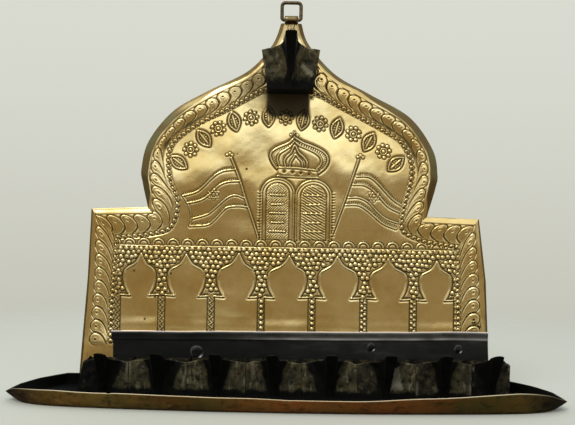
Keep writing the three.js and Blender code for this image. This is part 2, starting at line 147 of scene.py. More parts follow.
def facingOut(places, faces):
    # the volume under all faces is positive when they point outwards; if it isn't, each is turned over
    total = 0.0
    for group in faces:
        corners = places[group]
        for k in range(1, group.shape[1] - 1):
            total += np.einsum("ij,ij->", corners[:, 0], np.cross(corners[:, k], corners[:, k + 1]))
    return faces if total > 0 else [group[:, ::-1] for group in faces]


def tubeFaces(places, levels, around):
    # rings joined one to the next and capped at both ends
    ring = np.arange(around)[None, :]
    caps = [ring[:, ::-1], ring + (levels - 1) * around]
    return facingOut(places, [gridFaces(levels, around, roundColumns=True), *caps])


def boxOf(node):
    # the low and the high corner of a CAD node's box, in millimetres
    return [np.array(corner) * 1000 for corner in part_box(node)]


def newPiece(name, places, faces, slot, body="lamp", replaced=(), marks=None, crisp=None):
    # the places and faces go into a mesh as whole arrays, with a number at each place for each mark; a slot
    # has its finish's name
    mesh = bpy.data.meshes.new(name)
    mesh.vertices.add(len(places))
    mesh.vertices.foreach_set("co", np.ascontiguousarray(places, np.float32).ravel())
    corners = np.concatenate([group.ravel() for group in faces]).astype(np.int32)
    sizes = np.concatenate([np.full(len(group), group.shape[1]) for group in faces])
    mesh.loops.add(len(corners))
    mesh.loops.foreach_set("vertex_index", corners)
    mesh.polygons.add(len(sizes))
    mesh.polygons.foreach_set("loop_start", np.r_[0, np.cumsum(sizes)[:-1]].astype(np.int32))
    mesh.update(calc_edges=True)
    mesh.validate()
    mesh.polygons.foreach_set("use_smooth", np.ones(len(mesh.polygons), bool))
    for mark, values in (marks or {}).items():
        layer = mesh.attributes.new(mark, "FLOAT", "POINT")
        layer.data.foreach_set("value", np.ascontiguousarray(values, np.float32).ravel())
    if crisp:
        mesh.set_sharp_from_angle(angle=math.radians(crisp))
    mesh.materials.append(finishes[slot])
    thing = bpy.data.objects.new(name, mesh)
    bpy.context.scene.collection.objects.link(thing)
    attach(thing, body)
    if replaced:
        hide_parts(*replaced)


class Wire:  # a shader socket that can be added, multiplied and so on
    def __init__(self, finish, socket):
        self.finish, self.socket = finish, socket

    def __add__(self, other):
        return self.finish.maths("ADD", self, other)

    def __sub__(self, other):
        return self.finish.maths("SUBTRACT", self, other)

    def __rsub__(self, other):
        return self.finish.maths("SUBTRACT", other, self)

    def __mul__(self, other):
        return self.finish.maths("MULTIPLY", self, other)

    __radd__ = __add__
    __rmul__ = __mul__


class Finish:  # one material and the nodes it is built from
    def __init__(self, name, world=False):
        if world:
            self.block = bpy.data.worlds.new(name)
        else:
            self.block = bpy.data.materials.new(name)
        self.block.use_nodes = True
        self.tree = self.block.node_tree
        self.tree.nodes.clear()

    def node(self, kind, settings=None, values=None, out=0):
        made = self.tree.nodes.new(kind)
        for key, value in (settings or {}).items():
            setattr(made, key, value)
        for key, value in (values or {}).items():
            if isinstance(value, Wire):
                self.tree.links.new(value.socket, made.inputs[key])
            else:
                made.inputs[key].default_value = value
        return Wire(self, made.outputs[out]) if len(made.outputs) else made

    def maths(self, operation, first, second):
        return self.node("ShaderNodeMath", {"operation": operation}, {0: first, 1: second})

    def part(self, value, low, high):
        # 0 below low, 1 above high, eased between
        settings = {"interpolation_type": "SMOOTHSTEP", "clamp": True}
        return self.node("ShaderNodeMapRange", settings, {"Value": value, "From Min": low, "From Max": high})

    def blend(self, share, first, second):
        colours = [v if isinstance(v, Wire) else (*v, 1) for v in (first, second)]
        settings = {"data_type": "RGBA", "clamp_factor": True}
        return self.node("ShaderNodeMix", settings, {0: share, 6: colours[0], 7: colours[1]}, 2)

    def over(self, colour, colours, **shares):
        # each named colour is laid over the last, by its share
        for name, share in shares.items():
            colour = self.blend(share, colour, colours[name])
        return colour

    def place(self):
        return self.node("ShaderNodeTexCoord", out="Object")

    def mark(self, name):
        return self.node("ShaderNodeAttribute", {"attribute_name": name}, out="Fac")

    def noise(self, size, detail=3, rough=0.55, where=None, bend=0.0):
        # a cloud pattern whose lumps are about size millimetres across
        values = {"Vector": where or self.place(), "Scale": 1000 / size, "Detail": detail,
                  "Roughness": rough, "Distortion": bend}
        return self.node("ShaderNodeTexNoise", {}, values)

    def patches(self, low, high, *cloud, **more):
        # the lumps of a cloud pattern that rise past low, full from high on
        return self.part(self.noise(*cloud, **more), low, high)

    def stretched(self, along, turn=(0, 0, 0)):
        # coordinates drawn out by a factor along each axis, after a turn
        return self.node("ShaderNodeMapping", {}, {"Vector": self.place(), "Scale": along, "Rotation": turn})

    def bump(self, height, depth, normal=None, strength=1.0):
        values = {"Height": height, "Distance": depth * 0.001, "Strength": strength}
        if normal:
            values["Normal"] = normal
        return self.node("ShaderNodeBump", {}, values)

    def done(self, **sockets):
        # a socket is named by its words run together: baseColor is Base Color
        values = {}
        for key, value in sockets.items():
            words = key[0].upper() + "".join(" " + c if c.isupper() else c for c in key[1:])
            values[words.replace("Ior", "IOR")] = value
        shader = self.node("ShaderNodeBsdfPrincipled", {}, values)
        self.node("ShaderNodeOutputMaterial", {}, {"Surface": shader})
        return self.block


# The finishes, each with its colours in a dictionary

print("finishes")
# soot is the colour of the painted shadow of the servant cup on the plate
brass = {
    "pale": (0.72, 0.57, 0.28), "warm": (0.58, 0.41, 0.155), "red": (0.50, 0.27, 0.12),
    "ochre": (0.42, 0.25, 0.06), "tarnish": (0.095, 0.060, 0.022), "green": (0.095, 0.090, 0.042),
    "patina": (0.070, 0.043, 0.009), "speck": (0.070, 0.043, 0.009), "soot": (0.013, 0.0090, 0.0035),
    "roughness": 0.10,
}


def polishedBrass():
    # clouded sheet, reddish in places and ochre at its foot, tarnished at the rim with painted dark
    # reflection and shade there, with old polish in the hollows and a painted dark reflection in each border
    # bead, dark specks, and on the soot mark a painted shadow of the servant cup
    make = Finish("polished_brass")
    hollow, tarnish, soot, dull = (make.mark(name) for name in ("hollow", "tarnish", "soot", "dull"))
    cloud = make.noise(22, 4, 0.6)
    smear = make.noise(1.0, 3, 0.6, make.stretched((0.05, 0.1, 0.03), (0, 0.5, 0)))
    rim = make.part(tarnish + (make.noise(7, 4) - 0.5) * 0.9, 0.30, 0.70)
    grime = make.part(hollow + (make.noise(5, 3) - 0.5) * 0.3, 0.05, 0.55)
    # black: the painted shadow of the servant cup, from the soot mark
    black = make.part(soot + (make.noise(5, 4) - 0.5) * 0.45, 0.1, 0.75)
    old = make.blend(make.patches(0.45, 0.62, 11, 3), brass["tarnish"], brass["green"])
    colour = make.blend(make.part(cloud, 0.35, 0.68), brass["pale"], brass["warm"])
    red = make.patches(0.6, 0.8, 17, 3, 0.6, bend=0.6) * 0.35
    colour = make.over(colour, brass, red=red, ochre=dull * 0.8)
    colour = make.blend(rim * 0.92, colour, old)
    speck = make.patches(0.80, 0.84, 3.2, 1, 0.4)
    colour = make.over(colour, brass, patina=grime * 0.95, speck=speck * 0.7, soot=black * 0.96)
    roughness = brass["roughness"] + cloud * 0.06 + smear * 0.02 + grime * 0.4 + rim * 0.16
    tiny = make.bump(smear, 0.006, strength=0.5)
    return make.done(baseColor=colour, metallic=1 - grime * 0.2 - black * 0.75, specularIorLevel=0.15,
                     roughness=roughness + black * 0.4 + dull * 0.4,
                     normal=make.bump(make.noise(2.4, 3), 0.03, tiny, 0.6))


# the colours are dark for aged brass and also as a painted reflection of dark surroundings; edge is the pale
# colour of the painted highlight
trayBrass = {
    "yellow": (0.105, 0.066, 0.018), "red": (0.105, 0.036, 0.010), "green": (0.040, 0.034, 0.012),
    "dark": (0.022, 0.016, 0.008), "golden": (0.23, 0.140, 0.036), "coppery": (0.265, 0.082, 0.019),
    "olive": (0.052, 0.048, 0.012), "rubbed": (0.26, 0.18, 0.06), "streaks": (0.020, 0.015, 0.007),
    "soot": (0.0016, 0.0015, 0.0012), "edge": (0.76, 0.64, 0.42),
}


def agedBrass():
    # brown brass with blotches, long stretches of golden, coppery and olive, streaks, soot, and a painted
    # highlight on the edge mark; the colours are also kept dark as a painted reflection of dark surroundings
    make = Finish("aged_brass")
    edge, soot = make.mark("edge"), make.mark("soot")
    cloud = make.noise(1.0, 4, 0.6, make.stretched((0.03, 0.05, 0.09)), bend=0.5)
    streaks = make.patches(0.50, 0.66, 2.6, 5, 0.65, make.stretched((0.5, 0.5, 1.0)))
    colour = make.blend(make.part(cloud, 0.38, 0.62), trayBrass["yellow"], trayBrass["red"])
    colour = make.over(
        colour, trayBrass, green=make.patches(0.48, 0.62, 16, 4, 0.6, bend=0.8) * 0.85,
        dark=make.patches(0.56, 0.72, 7, 4, 0.65) * 0.85, golden=make.mark("golden") * (0.1 + cloud * 0.9),
        coppery=make.mark("coppery") * (0.2 + cloud * 0.8), olive=make.mark("olive") * (0.2 + cloud * 0.7),
        rubbed=make.patches(0.62, 0.72, 9, 4, 0.65, bend=0.6) * 0.5, streaks=streaks * 0.6, soot=soot,
        edge=edge * 0.95)
    return make.done(baseColor=colour, metallic=0.95 - soot * 0.95, specularIorLevel=0.06,
                     roughness=0.34 + cloud * 0.22 + soot * 0.5 - edge * 0.12,
                     normal=make.bump(make.noise(3.5, 4), 0.12, strength=0.7))


# soot is also the colour of painted shade, and edge also of painted highlights
cupTin = {
    "light": (0.076, 0.062, 0.029), "dark": (0.027, 0.026, 0.015), "runs": (0.172, 0.144, 0.086),
    "pits": (0.008, 0.007, 0.005), "rust": (0.075, 0.036, 0.018), "soot": (0.0016, 0.0016, 0.0012),
    "edge": (0.22, 0.20, 0.14),
}


def sootyTin():
    # oily tin with pale runs, black pits and a little rust, black on the soot mark, which holds soot and
    # painted shade, and pale on the edge mark, which holds worn edges and painted highlights
    make = Finish("sooty_tin")
    edge, soot = make.mark("edge"), make.mark("soot")
    runs = make.noise(1.0, 4, 0.6, make.stretched((0.45, 0.45, 0.10)))
    black = make.part(soot + (make.noise(3.5, 5, 0.7) - 0.5) * 0.9, 0.10, 0.80)
    colour = make.blend(make.patches(0.3, 0.7, 7, 4, 0.62, bend=0.4), cupTin["light"], cupTin["dark"])
    colour = make.over(
        colour, cupTin, runs=make.part(runs + (make.noise(5, 3) - 0.5) * 0.5, 0.54, 0.68) * 0.75,
        pits=make.patches(0.50, 0.62, 2.4, 5, 0.7) * 0.85, rust=make.patches(0.59, 0.70, 4, 4) * 0.55,
        soot=black * 0.99, edge=edge * 0.85)
    lumps = make.bump(make.noise(4.5, 4), 0.22, strength=0.7)
    return make.done(baseColor=colour, metallic=0.35 - black * 0.35, specularIorLevel=0.08,
                     roughness=0.38 + make.noise(6, 3) * 0.25 + black * 0.3,
                     normal=make.bump(runs, 0.15, lumps, 0.6))


# edge is the pale colour of the painted highlights on the hem
stripTin = {
    "dark": (0.034, 0.034, 0.027), "light": (0.064, 0.062, 0.051), "rubbed": (0.115, 0.110, 0.092),
    "pits": (0.012, 0.012, 0.011), "soot": (0.0040, 0.0043, 0.0032), "edge": (0.72, 0.64, 0.60),
}


def darkTin():
    # dull tin rubbed paler along its length, with dark pits, a veil of soot and painted highlights on the
    # edge mark
    make = Finish("dark_tin")
    edge, soot = make.mark("edge"), make.mark("soot")
    rub = make.noise(1.0, 4, 0.6, make.stretched((0.045, 0.1, 0.30)))
    veil = make.noise(9, 4, 0.6, make.stretched((0.4, 1, 1)))
    colour = make.blend(make.patches(0.3, 0.7, 12, 4, 0.6), stripTin["dark"], stripTin["light"])
    colour = make.over(
        colour, stripTin, rubbed=make.part(rub, 0.50, 0.70) * 0.7, pits=make.patches(0.58, 0.7, 4, 4) * 0.5,
        soot=make.part(soot + (veil - 0.5) * 0.5, 0.05, 1.0) * 0.92, edge=edge)
    return make.done(baseColor=colour, metallic=0.35, roughness=0.38 + rub * 0.25 - edge * 0.1,
                     specularIorLevel=0.14,
                     normal=make.bump(make.noise(7, 3), 0.18, make.bump(rub, 0.03), 0.6))


# bare is the colour of the painted glint and lit ring on the rivet heads
iron = {"black": (0.004, 0.004, 0.003), "grey": (0.020, 0.020, 0.018), "bare": (0.72, 0.69, 0.66)}


def dullIron():
    # near-black iron, pale and less metallic where the edge mark paints a glint
    make = Finish("dull_iron")
    cloud, edge = make.noise(2.0, 4, 0.62), make.mark("edge")
    colour = make.blend(make.part(cloud, 0.42, 0.66), iron["black"], iron["grey"])
    return make.done(baseColor=make.over(colour, iron, bare=edge), metallic=0.2 - edge * 0.2,
                     roughness=0.3 + cloud * 0.25, specularIorLevel=0.1,
                     normal=make.bump(make.noise(1.6, 4), 0.16))


wireBrass = {"brown": (0.135, 0.090, 0.042), "dark": (0.050, 0.042, 0.024), "green": (0.070, 0.085, 0.050)}


def wornBrass():
    # brown wire with a little green on it
    make = Finish("worn_brass")
    cloud = make.noise(3.0, 4, 0.6)
    colour = make.blend(make.part(cloud, 0.35, 0.65), wireBrass["brown"], wireBrass["dark"])
    colour = make.over(colour, wireBrass, green=make.patches(0.5, 0.62, 5, 3) * 0.7)
    return make.done(baseColor=colour, metallic=0.95, roughness=0.26 + cloud * 0.25,
                     normal=make.bump(make.noise(1.2, 3), 0.06))


finishes = {
    "polished_brass": polishedBrass(), "aged_brass": agedBrass(), "sooty_tin": sootyTin(),
    "dark_tin": darkTin(), "dull_iron": dullIron(), "worn_brass": wornBrass(),
}

# The backplate's lines, hand cut. Shares run across its half width and up its height

print("backplate")
plate = {
    "halfWidth": 111.0, "height": 197.3, "foot": 0.5, "neck": 0.6, "sheet": 1.0, "waist": 178.0,
    "edgeBend": 62.0, "beadBend": 58.0,  # heights at which the walk up the border is split
    "tuck": 0.6, "least": 0.2,  # how far the front sheets' hidden edges lie back, and their least height
    "corners": {-1: [(0.963, 0.304), (0.951, 0.4845)], 1: [(0.973, 0.304), (0.934, 0.474)]},
    "lobes": {
        -1: [(0.677, 0.4916), (0.7045, 0.558), (0.7117, 0.5966), (0.679, 0.6716), (0.566, 0.753),
             (0.410, 0.8074), (0.2027, 0.8677), (0.0865, 0.9397), (0.0441, 1)],
        1: [(0.681, 0.4775), (0.7198, 0.5555), (0.7288, 0.5935), (0.7027, 0.6624), (0.588, 0.749),
            (0.391, 0.8104), (0.2216, 0.8632), (0.0928, 0.9427), (0.055, 1)],
    },
    "beadCorners": {-1: [(0.846, 0.210), (0.829, 0.361), (0.825, 0.408)],
                    1: [(0.842, 0.210), (0.836, 0.279), (0.832, 0.397)]},
    "beads": {
        -1: [(0.684, 0.4151), (0.568, 0.4354), (0.532, 0.5038), (0.572, 0.5748), (0.569, 0.6569),
             (0.460, 0.7126), (0.301, 0.7608), (0.137, 0.8145)],
        1: [(0.676, 0.4090), (0.566, 0.4379), (0.568, 0.4982), (0.605, 0.6006), (0.559, 0.6736),
            (0.465, 0.7106), (0.303, 0.7587), (0.166, 0.8008)],
    },
    "bendMiddle": 164.0,  # where the two bead lines meet, behind the servant cup
}


def fromShares(side, shares):
    # places in millimetres from shares of the half width and the height
    return np.array([(side * across * plate["halfWidth"], up * plate["height"]) for across, up in shares])


def spanOf(curve, points, low, high):
    # the stretch of a curve of even steps between two of the points it was drawn through
    steps = (len(curve) - 1) / (points - 1)
    return curve[round(low * steps):round(high * steps) + 1]


def borderStations(side, pitch):
    # the plate's edge and the bead line inside it, walked together stretch by stretch from foot to neck
    corners, beadCorners = (fromShares(side, plate[key][side]) for key in ("corners", "beadCorners"))
    lobe = throughPoints(fromShares(side, plate["lobes"][side]), 800)
    bead = throughPoints(fromShares(side, plate["beads"][side]), 700)
    foot = np.array([side * plate["halfWidth"], plate["foot"]])
    outer = np.array([foot, corners[0], corners[1]])
    cut = (plate["edgeBend"] - outer[1][1]) / (outer[2][1] - outer[1][1])
    bend = outer[1] + cut * (outer[2] - outer[1])
    meet, waist, tip = ([plate["neck"], plate[key]] for key in ("bendMiddle", "waist", "height"))
    inner = np.array([[beadCorners[0][0], plate["foot"]], *beadCorners])
    low = np.array([np.interp(plate["beadBend"], inner[:, 1], inner[:, 0]), plate["beadBend"]])
    below, above = inner[inner[:, 1] < plate["beadBend"]], inner[inner[:, 1] > plate["beadBend"]]
    pairs = [
        (np.array([outer[0], outer[1], bend]), np.array([*below, low])),
        (np.array([bend, outer[2]]), np.array([low, *above])),
        (np.array([outer[2], lobe[0]]), np.array([above[-1], *spanOf(bead, 8, 0, 0.8)])),
        (spanOf(lobe, 9, 0, 2), spanOf(bead, 8, 0.8, 3)),
        (spanOf(lobe, 9, 2, 4), spanOf(bead, 8, 3, 5)),
        (spanOf(lobe, 9, 4, 6), spanOf(bead, 8, 5, 7)),
        (spanOf(lobe, 9, 6, 7), np.array([bead[-1], meet, waist])),
        (spanOf(lobe, 9, 7, 8), np.array([waist, tip])),
    ]
    edge, line = [], []
    for out, near in pairs:
        length = (runOf(out)[-1] + runOf(near)[-1]) / 2
        count = max(int(length / pitch), 4)
        edge.append(evenly(out, count + 1)[:-1])
        line.append(evenly(near, count + 1)[:-1])
    edge.append([pairs[-1][0][-1]])
    line.append([tip])
    return np.concatenate(edge), np.concatenate(line)


def beadPath(side, steps):
    # the bead line from the plate's foot up to where the two lines meet
    corners = fromShares(side, plate["beadCorners"][side])
    curve = throughPoints(fromShares(side, plate["beads"][side]), steps)
    return np.array([[corners[0][0], 0], *corners, *curve, [plate["neck"], plate["bendMiddle"]]])


def beadLineAt(z):
    # how far across the two bead lines stand at a height
    paths = [beadPath(side, 140) for side in (-1, 1)]
    return [np.interp(z, path[:, 1], path[:, 0]) for path in paths]


stains = {  # a puff is its middle across and up, its reach to the left and right and upwards, and its share
    "shadowMiddle": -0.4, "shadowHalf": (9.4, 13.4), "shadowFoot": (143.8, 150.5), "shadowTop": (162, 165),
    "puffs": [(-14, 159, 22, 6, 12, 0.32), (-21, 170, 12, 12, 9, 0.22)],
    "neckFrom": (186, 191), "neck": 0.3, "dullTo": (21, 28), "dull": 0.2,
}


def plateMarks(x, z, hollow, rim=0.0):
    # besides the hollows: the rim's tarnish, which also carries painted dark reflection and painted shade; a
    # painted shadow of the servant cup on the plate under it, on the soot mark; haze in puffs to its left and
    # on the neck; and the foot duller and darker
    # painted shadow of the servant cup: darker on the plate under it
    cupShadow = 1 - ease(*stains["shadowHalf"], np.abs(x - stains["shadowMiddle"]))
    cupShadow *= ease(*stains["shadowFoot"], z + 0.8 * np.sin(x * 0.7)) * (1 - ease(*stains["shadowTop"], z))
    haze = stains["neck"] * ease(*stains["neckFrom"], z) + 0 * x
    for cx, cz, left, right, tall, share in stains["puffs"]:
        haze += share * bell(x - cx, np.where(x < cx, left, right)) * bell(z - cz, tall)
    dull = 1 - ease(*stains["dullTo"], z)
    hollow = np.maximum(hollow, np.maximum(haze, stains["dull"] * dull))
    # on the plate the soot mark holds only the painted shadow of the servant cup
    return {"hollow": hollow, "tarnish": rim + 0 * x, "soot": cupShadow, "dull": dull}


def unevenness(x, z):
    # the sheet's own slow waves from hand planishing, in millimetres
    slow = (0.24 + 0.14 * ease(84, 100, z)) * waves(x, z, 46, 16, 5)
    return slow + 0.055 * waves(x, z, 19, 24, 8) + 0.010 * waves(x, z, 6.5, 24, 3)


swells = [  # each one's middle across and up, its width, length and rise
    (-36, 124, 20, 30, 0.95), (38, 124, 20, 30, 1.0), (-17, 121, 13, 14, 0.32), (24, 130, 14, 14, 0.34),
]


def swelling(x, z):
    # the upper field stands forward where it was beaten out, each swell by its rise times
    # exp(-(across/width)² - (up/length)²)
    return sum(rise * bell(x - cx, wide) * bell(z - cz, tall) for cx, cz, wide, tall, rise in swells)


border = {
    "pitch": 0.29, "across": 60, "inward": 2.0, "rim": 4.1, "leafPitch": 7.1, "head": 3.2, "leafLength": 9.6,
    "crest": 0.95, "pillow": 0.30, "groove": 0.27, "beadPitch": 3.0, "beadRadius": 1.18, "beadHeight": 0.66,
    "lobeRim": 1.2, "shoulderRim": 0.6, "lobeTrim": 3.2,
    "riseFrom": {-1: (8.0, 10.0), 1: (33.0, 41.0)}, "leavesFrom": {-1: (21.0, 24.5), 1: (30.0, 32.5)},
    "slopeFrom": {-1: (22.0, 34.0), 1: (30.0, 32.5)},
}


def leafRelief(run, across, seed):
    # across runs from the round head at the edge (0) to the beads (9.6). A leaf's two sides are the circle
    # of its head, then the curve -0.85 t^2.5 of a pitch, one leaf apart. Height is pillow less groove
    pitch, groove, head = border["leafPitch"], border["groove"], border["head"]
    number, span = run / pitch, border["leafLength"] - head
    t = np.clip((across - head) / span, 0, 1.3)
    bow = -0.85 * t**2.5
    k = np.ceil(number - np.where(across > head, bow, 0))
    local = number - k
    half = 0.5 * np.sqrt(np.clip(1 - (np.clip(head - across, 0, None) / head) ** 2, 0, 1))
    share = np.where(across < head, half - np.abs(local + 0.5), np.minimum(bow - local, local - bow + 1))
    headSlope = 0.5 * (head - across) / head**2 / np.maximum(half * 2, 0.2)
    slope = np.where(across < head, headSlope, 0.85 * 2.5 * t**1.5 / span)
    distance = share * pitch / np.sqrt(1 + (slope * pitch) ** 2)
    wobble = np.random.default_rng(seed).uniform(-1, 1, (400, 4))[k.astype(int) % 400]
    relief = border["pillow"] * (1 - np.exp(-np.clip(distance, 0, None) / 0.8))
    relief += 0.05 * wobble[..., 0] * (distance > 0) - groove * bell(distance, 0.34)
    relief += 0.12 * bell(distance - 0.8, 0.3)
    between = -0.12 * ease(0, 1.2, -distance) - groove * bell(distance, 0.4)
    relief = np.where(distance < 0, between, relief)
    eyeRun = (local - (-0.5 - 0.06 * wobble[..., 1])) * pitch
    eye = np.hypot(eyeRun, across - (3.3 + 0.35 * wobble[..., 2]))
    relief += -0.30 * bell(eye, 0.48) + 0.06 * bell(eye - 0.95, 0.3)
    combing = np.cos((local - bow) * pitch * math.tau / 1.25)
    return relief + 0.035 * combing * ease(5.2, 6.4, across) * (distance > 0.9)


def borderPiece(side):
    # a strip from inside the bead line (across = width + inward) to the edge (0), then round to the rear
    edge, line = borderStations(side, border["pitch"])
    reach = edge - line
    width = np.linalg.norm(reach, axis=1)[:, None]
    share = np.linspace(-1, 0, border["across"])[None, :]
    across = -share * (width + border["inward"])
    place = edge[:, None, :] - reach[:, None, :] * (across / width)[..., None]
    x, z = place[..., 0], place[..., 1]
    run = runOf(edge * 0.6 + line * 0.4)[:, None] + 0 * across
    beadRun = runOf(line)[:, None] + 0 * across
    up, meeting = edge[:, 1:], plate["bendMiddle"]
    onLobes = 1 - ease(meeting - 2, meeting, np.broadcast_to(line[:, 1:], across.shape))
    lobe = ease(96, 108, up) * (1 - ease(150, 166, up)) * ease(10, 12.5, width)
    shoulder = ease(0.6, 0.9, np.abs(np.gradient(edge[:, 0]))[:, None] / border["pitch"]) * (up < 97)
    margin = border["rim"] + border["lobeRim"] * lobe + border["shoulderRim"] * shoulder
    trim = margin + np.where(onLobes > 0.5, 2.0, 0.4) + (border["lobeTrim"] - 2.0) * lobe
    length = border["leafLength"]
    leafAcross = (across - margin) / np.maximum(width - trim, 2) * length
    leaves = leafRelief(run, np.clip(leafAcross, -3, 12), 11 + side)
    leaves *= ease(-0.8, 0.1, leafAcross) * (1 - ease(length - 0.4, length + 0.5, leafAcross))
    worked, patterned = ease(*border["riseFrom"][side], z), ease(*border["leavesFrom"][side], z)
    sloped = ease(*border["slopeFrom"][side], z) * (1 - 0.65 * ease(140, 158, z)) * onLobes
    level = -0.10 + border["crest"] * ease(-0.4, 4.4, across) - 0.80 * ease(6.2, width - 1.4, across) * sloped
    level -= 0.12 * bell(across - margin + 0.35, 0.35)
    alongRow = (beadRun / border["beadPitch"] - np.round(beadRun / border["beadPitch"])) * border["beadPitch"]
    toBead = np.hypot(alongRow, across - width) / border["beadRadius"]
    beads = border["beadHeight"] * np.sqrt(np.clip(1 - toBead**2, 0, 1)) - 0.16 * bell(toBead - 1.12, 0.16)
    height = plate["sheet"] + unevenness(x, z) * 0.6 + swelling(x, z)
    height += worked * level + patterned * (leaves + beads * onLobes)
    height = np.where(worked > 0, height, np.minimum(height, plate["sheet"]))
    tucked = ease(border["inward"] - 0.7, border["inward"], across - width)
    height = np.maximum(height - plate["tuck"] * tucked, plate["least"])
    hollow = np.clip((blurred(height, 4) - height) / 0.13, 0, 1)
    # painted reflection: a dark middle on each bead of the border row, laid on the hollow mark
    hollow = np.maximum(hollow, 0.6 * bell(toBead, 0.6) * onLobes * patterned)
    lip = np.array([(0.02, 0.80), (0.0, 0.5), (0.03, 0.18), (0.16, 0.0)])  # the cut edge, rounded to the rear
    turn = edge[:, None, :] - reach[:, None, :] / width[..., None] * lip[None, :, :1]
    x, z = np.concatenate([x, turn[..., 0]], 1), np.concatenate([z, turn[..., 1]], 1)
    height = np.concatenate([height, np.broadcast_to(lip[:, 1], turn.shape[:2])], 1)
    hollow = np.concatenate([hollow, np.zeros(turn.shape[:2])], 1)
    # tarnish along the margin, which also paints the dark reflection of its turned-back slope, kept off the
    # shoulders
    wide = np.maximum(lobe, 0.28 * ease(160, 168, up))
    rim = (1 - ease(0.4 + 2.6 * wide, 1.8 + 3.4 * wide, across)) * (1 - 0.9 * shoulder)
    # painted shadow: a dark band just inside the bead line on the lobes
    rim += 0.62 * lobe * ease(112, 130, z[:, :1]) * bell(across - width + 2.7, 1.5)
    rim = np.concatenate([rim, np.ones(turn.shape[:2])], 1)
    faces, name = gridFaces(*x.shape), "border_left"
    if side > 0:
        faces, name = faces[:, ::-1], "border_right"
    newPiece(name, spots(x, height, z), [faces], "polished_brass", marks=plateMarks(x, z, hollow, rim))


borderPiece(-1)
borderPiece(1)

# The worked field inside the border: arcade, row of domes, tablets, crown, flags and leaf sprays

field = {
    "columns": [-91.0, -67.0, -40.3, -13.2, 14.3, 42.1, 68.9, 92.8],
    "points": [(-78.2, 71.6), (-53.9, 71.4), (-25.5, 72.5), (1.8, 71.6), (27.7, 71.8), (55.2, 71.2),
               (81.4, 70.0)],
    "ogee": [(0, 0), (0.12, 0.35), (0.68, 0.62), (1, 1)],  # shares in from the neck and up to the point
    "shaft": 2.4, "capital": 6.7, "neck": 3.5, "foot": 20.0, "base": 49.5, "throat": 58.5, "top": 76.4,
    "ground": 0.22, "beads": [(-92, 50.6), (94, 75.8)], "beadPitch": 2.78,
    "domePitch": 7.9, "domeShift": 2.0, "domeRadius": 3.35, "domeFoot": 76.9, "domeHalf": 93.0,
    "tablets": [(-13.9, 3.6), (4.7, 23.6)], "tabletFoot": 80.4, "shoulders": [105.4, 104.0],
    "ticks": (-15.0, 24.9), "tickFoot": 82.0, "tickPitch": 1.5,
    "pits": [(-22.2, 118.4), (-15.6, 90.8), (-72.4, 66.8), (-81.9, 62.5), (-62.0, 61.4), (-70.5, 48.6),
             (-75.8, 36.6)],
}
strokes = {  # the width and height of each kind of line; a cut one's height is below nought
    "arch": (0.40, 0.48), "shaft": (0.34, 0.26), "zigzag": (0.34, 0.42), "ledge": (0.42, 0.5),
    "domeFoot": (0.4, 0.3), "star": (0.3, 0.26), "besidePole": (0.34, -0.3), "pole": (0.36, 0.42),
    "stripe": (0.36, 0.4), "flagEnd": (0.34, 0.28), "tablet": (0.48, 0.55), "tabletInside": (0.34, -0.32),
    "bar": (0.42, 0.5), "tick": (0.33, 0.28), "dome": (0.5, 0.6), "domeInside": (0.42, 0.42),
    "leaf": (0.46, 0.5), "heart": (0.42, 0.42), "bandTop": (0.42, 0.42), "bandFoot": (0.4, 0.4),
    "ray": (0.3, -0.22), "ring": (0.34, 0.34), "almond": (0.46, 0.62), "rib": (0.36, 0.34),
}
studs = {  # the radius and height of each kind of round head or pit; in a pit of dirt it is the dirt's share
    "bead": (1.2, 0.46), "shaftBead": (0.95, 0.36), "stripePit": (0.42, -0.2), "finial": (0.85, 0.36),
    "pip": (0.95, -0.42), "crownTop": (0.8, 0.34), "petal": (0.95, 0.42), "vein": (0.45, 0.18),
    "pit": (0.65, 1.6),
}


def archPaths():
    # each arch from shaft up: straight, flared capital, narrow neck, then a swelling curve to the point
    paths, base, throat = [], field["base"], field["throat"]
    for i, (middle, point) in enumerate(field["points"]):
        sides = []
        for column in (field["columns"][i], field["columns"][i + 1]):
            way = 1 if column < middle else -1
            shaft, capital, neck = (column + way * field[key] for key in ("shaft", "capital", "neck"))
            halfway = (capital * 0.3 + neck * 0.7, (base + throat) / 2)
            flare = throughPoints([(capital, base), halfway, (neck, throat)], 10)
            swell = [(neck + (middle - neck) * a, throat + (point - throat) * b) for a, b in field["ogee"]]
            ogee = throughPoints(swell, 20)
            sides.append(np.array([(shaft, field["foot"]), (shaft, base), *flare, *ogee[1:]]))
        paths.append(np.concatenate([sides[0], sides[1][::-1][1:]]))
    return paths


def addLine(height, x, z, path, width, amount, closed=False):
    # a raised line (or a cut one, for a negative amount): amount times exp(-(distance/width)²)
    path = np.asarray(path, float)
    low, high = path.min(0) - 3 * width, path.max(0) + 3 * width
    near = (x > low[0]) & (x < high[0]) & (z > low[1]) & (z < high[1])
    if near.any():
        height[near] += amount * bell(nearest(x[near], z[near], path, closed), width)


def addChased(height, x, z, path, width, amount, closed=False):
    # a chased line: a narrow ridge between two cuts
    addLine(height, x, z, path, width * 2.1, -amount * 0.55, closed)
    addLine(height, x, z, path, width, amount * 1.35, closed)


def addDots(height, x, z, middles, radius, amount):
    # round heads, or pits: amount times sqrt(1 - (distance/radius)²), with a ring cut round each head
    best = np.full(np.shape(x), 1e9)
    for cx, cz in middles:
        best = np.minimum(best, (x - cx) ** 2 + (z - cz) ** 2)
    share = np.sqrt(best) / radius
    height += amount * np.sqrt(np.clip(1 - share**2, 0, 1)) - 0.3 * abs(amount) * bell(share - 1.15, 0.17)


def scatter(low, high, pitch, seed, shake=0.17):
    # places in staggered rows, each shaken a little from its post
    rng = np.random.default_rng(seed)
    rows = np.arange(low[1], high[1], pitch * 0.87)
    found = []
    for k, z in enumerate(rows):
        x = np.arange(low[0] + (k % 2) * pitch / 2, high[0], pitch)
        found.append(np.stack([x, np.full(len(x), z)], -1))
    found = np.concatenate(found)
    return found + rng.uniform(-shake, shake, found.shape) * pitch


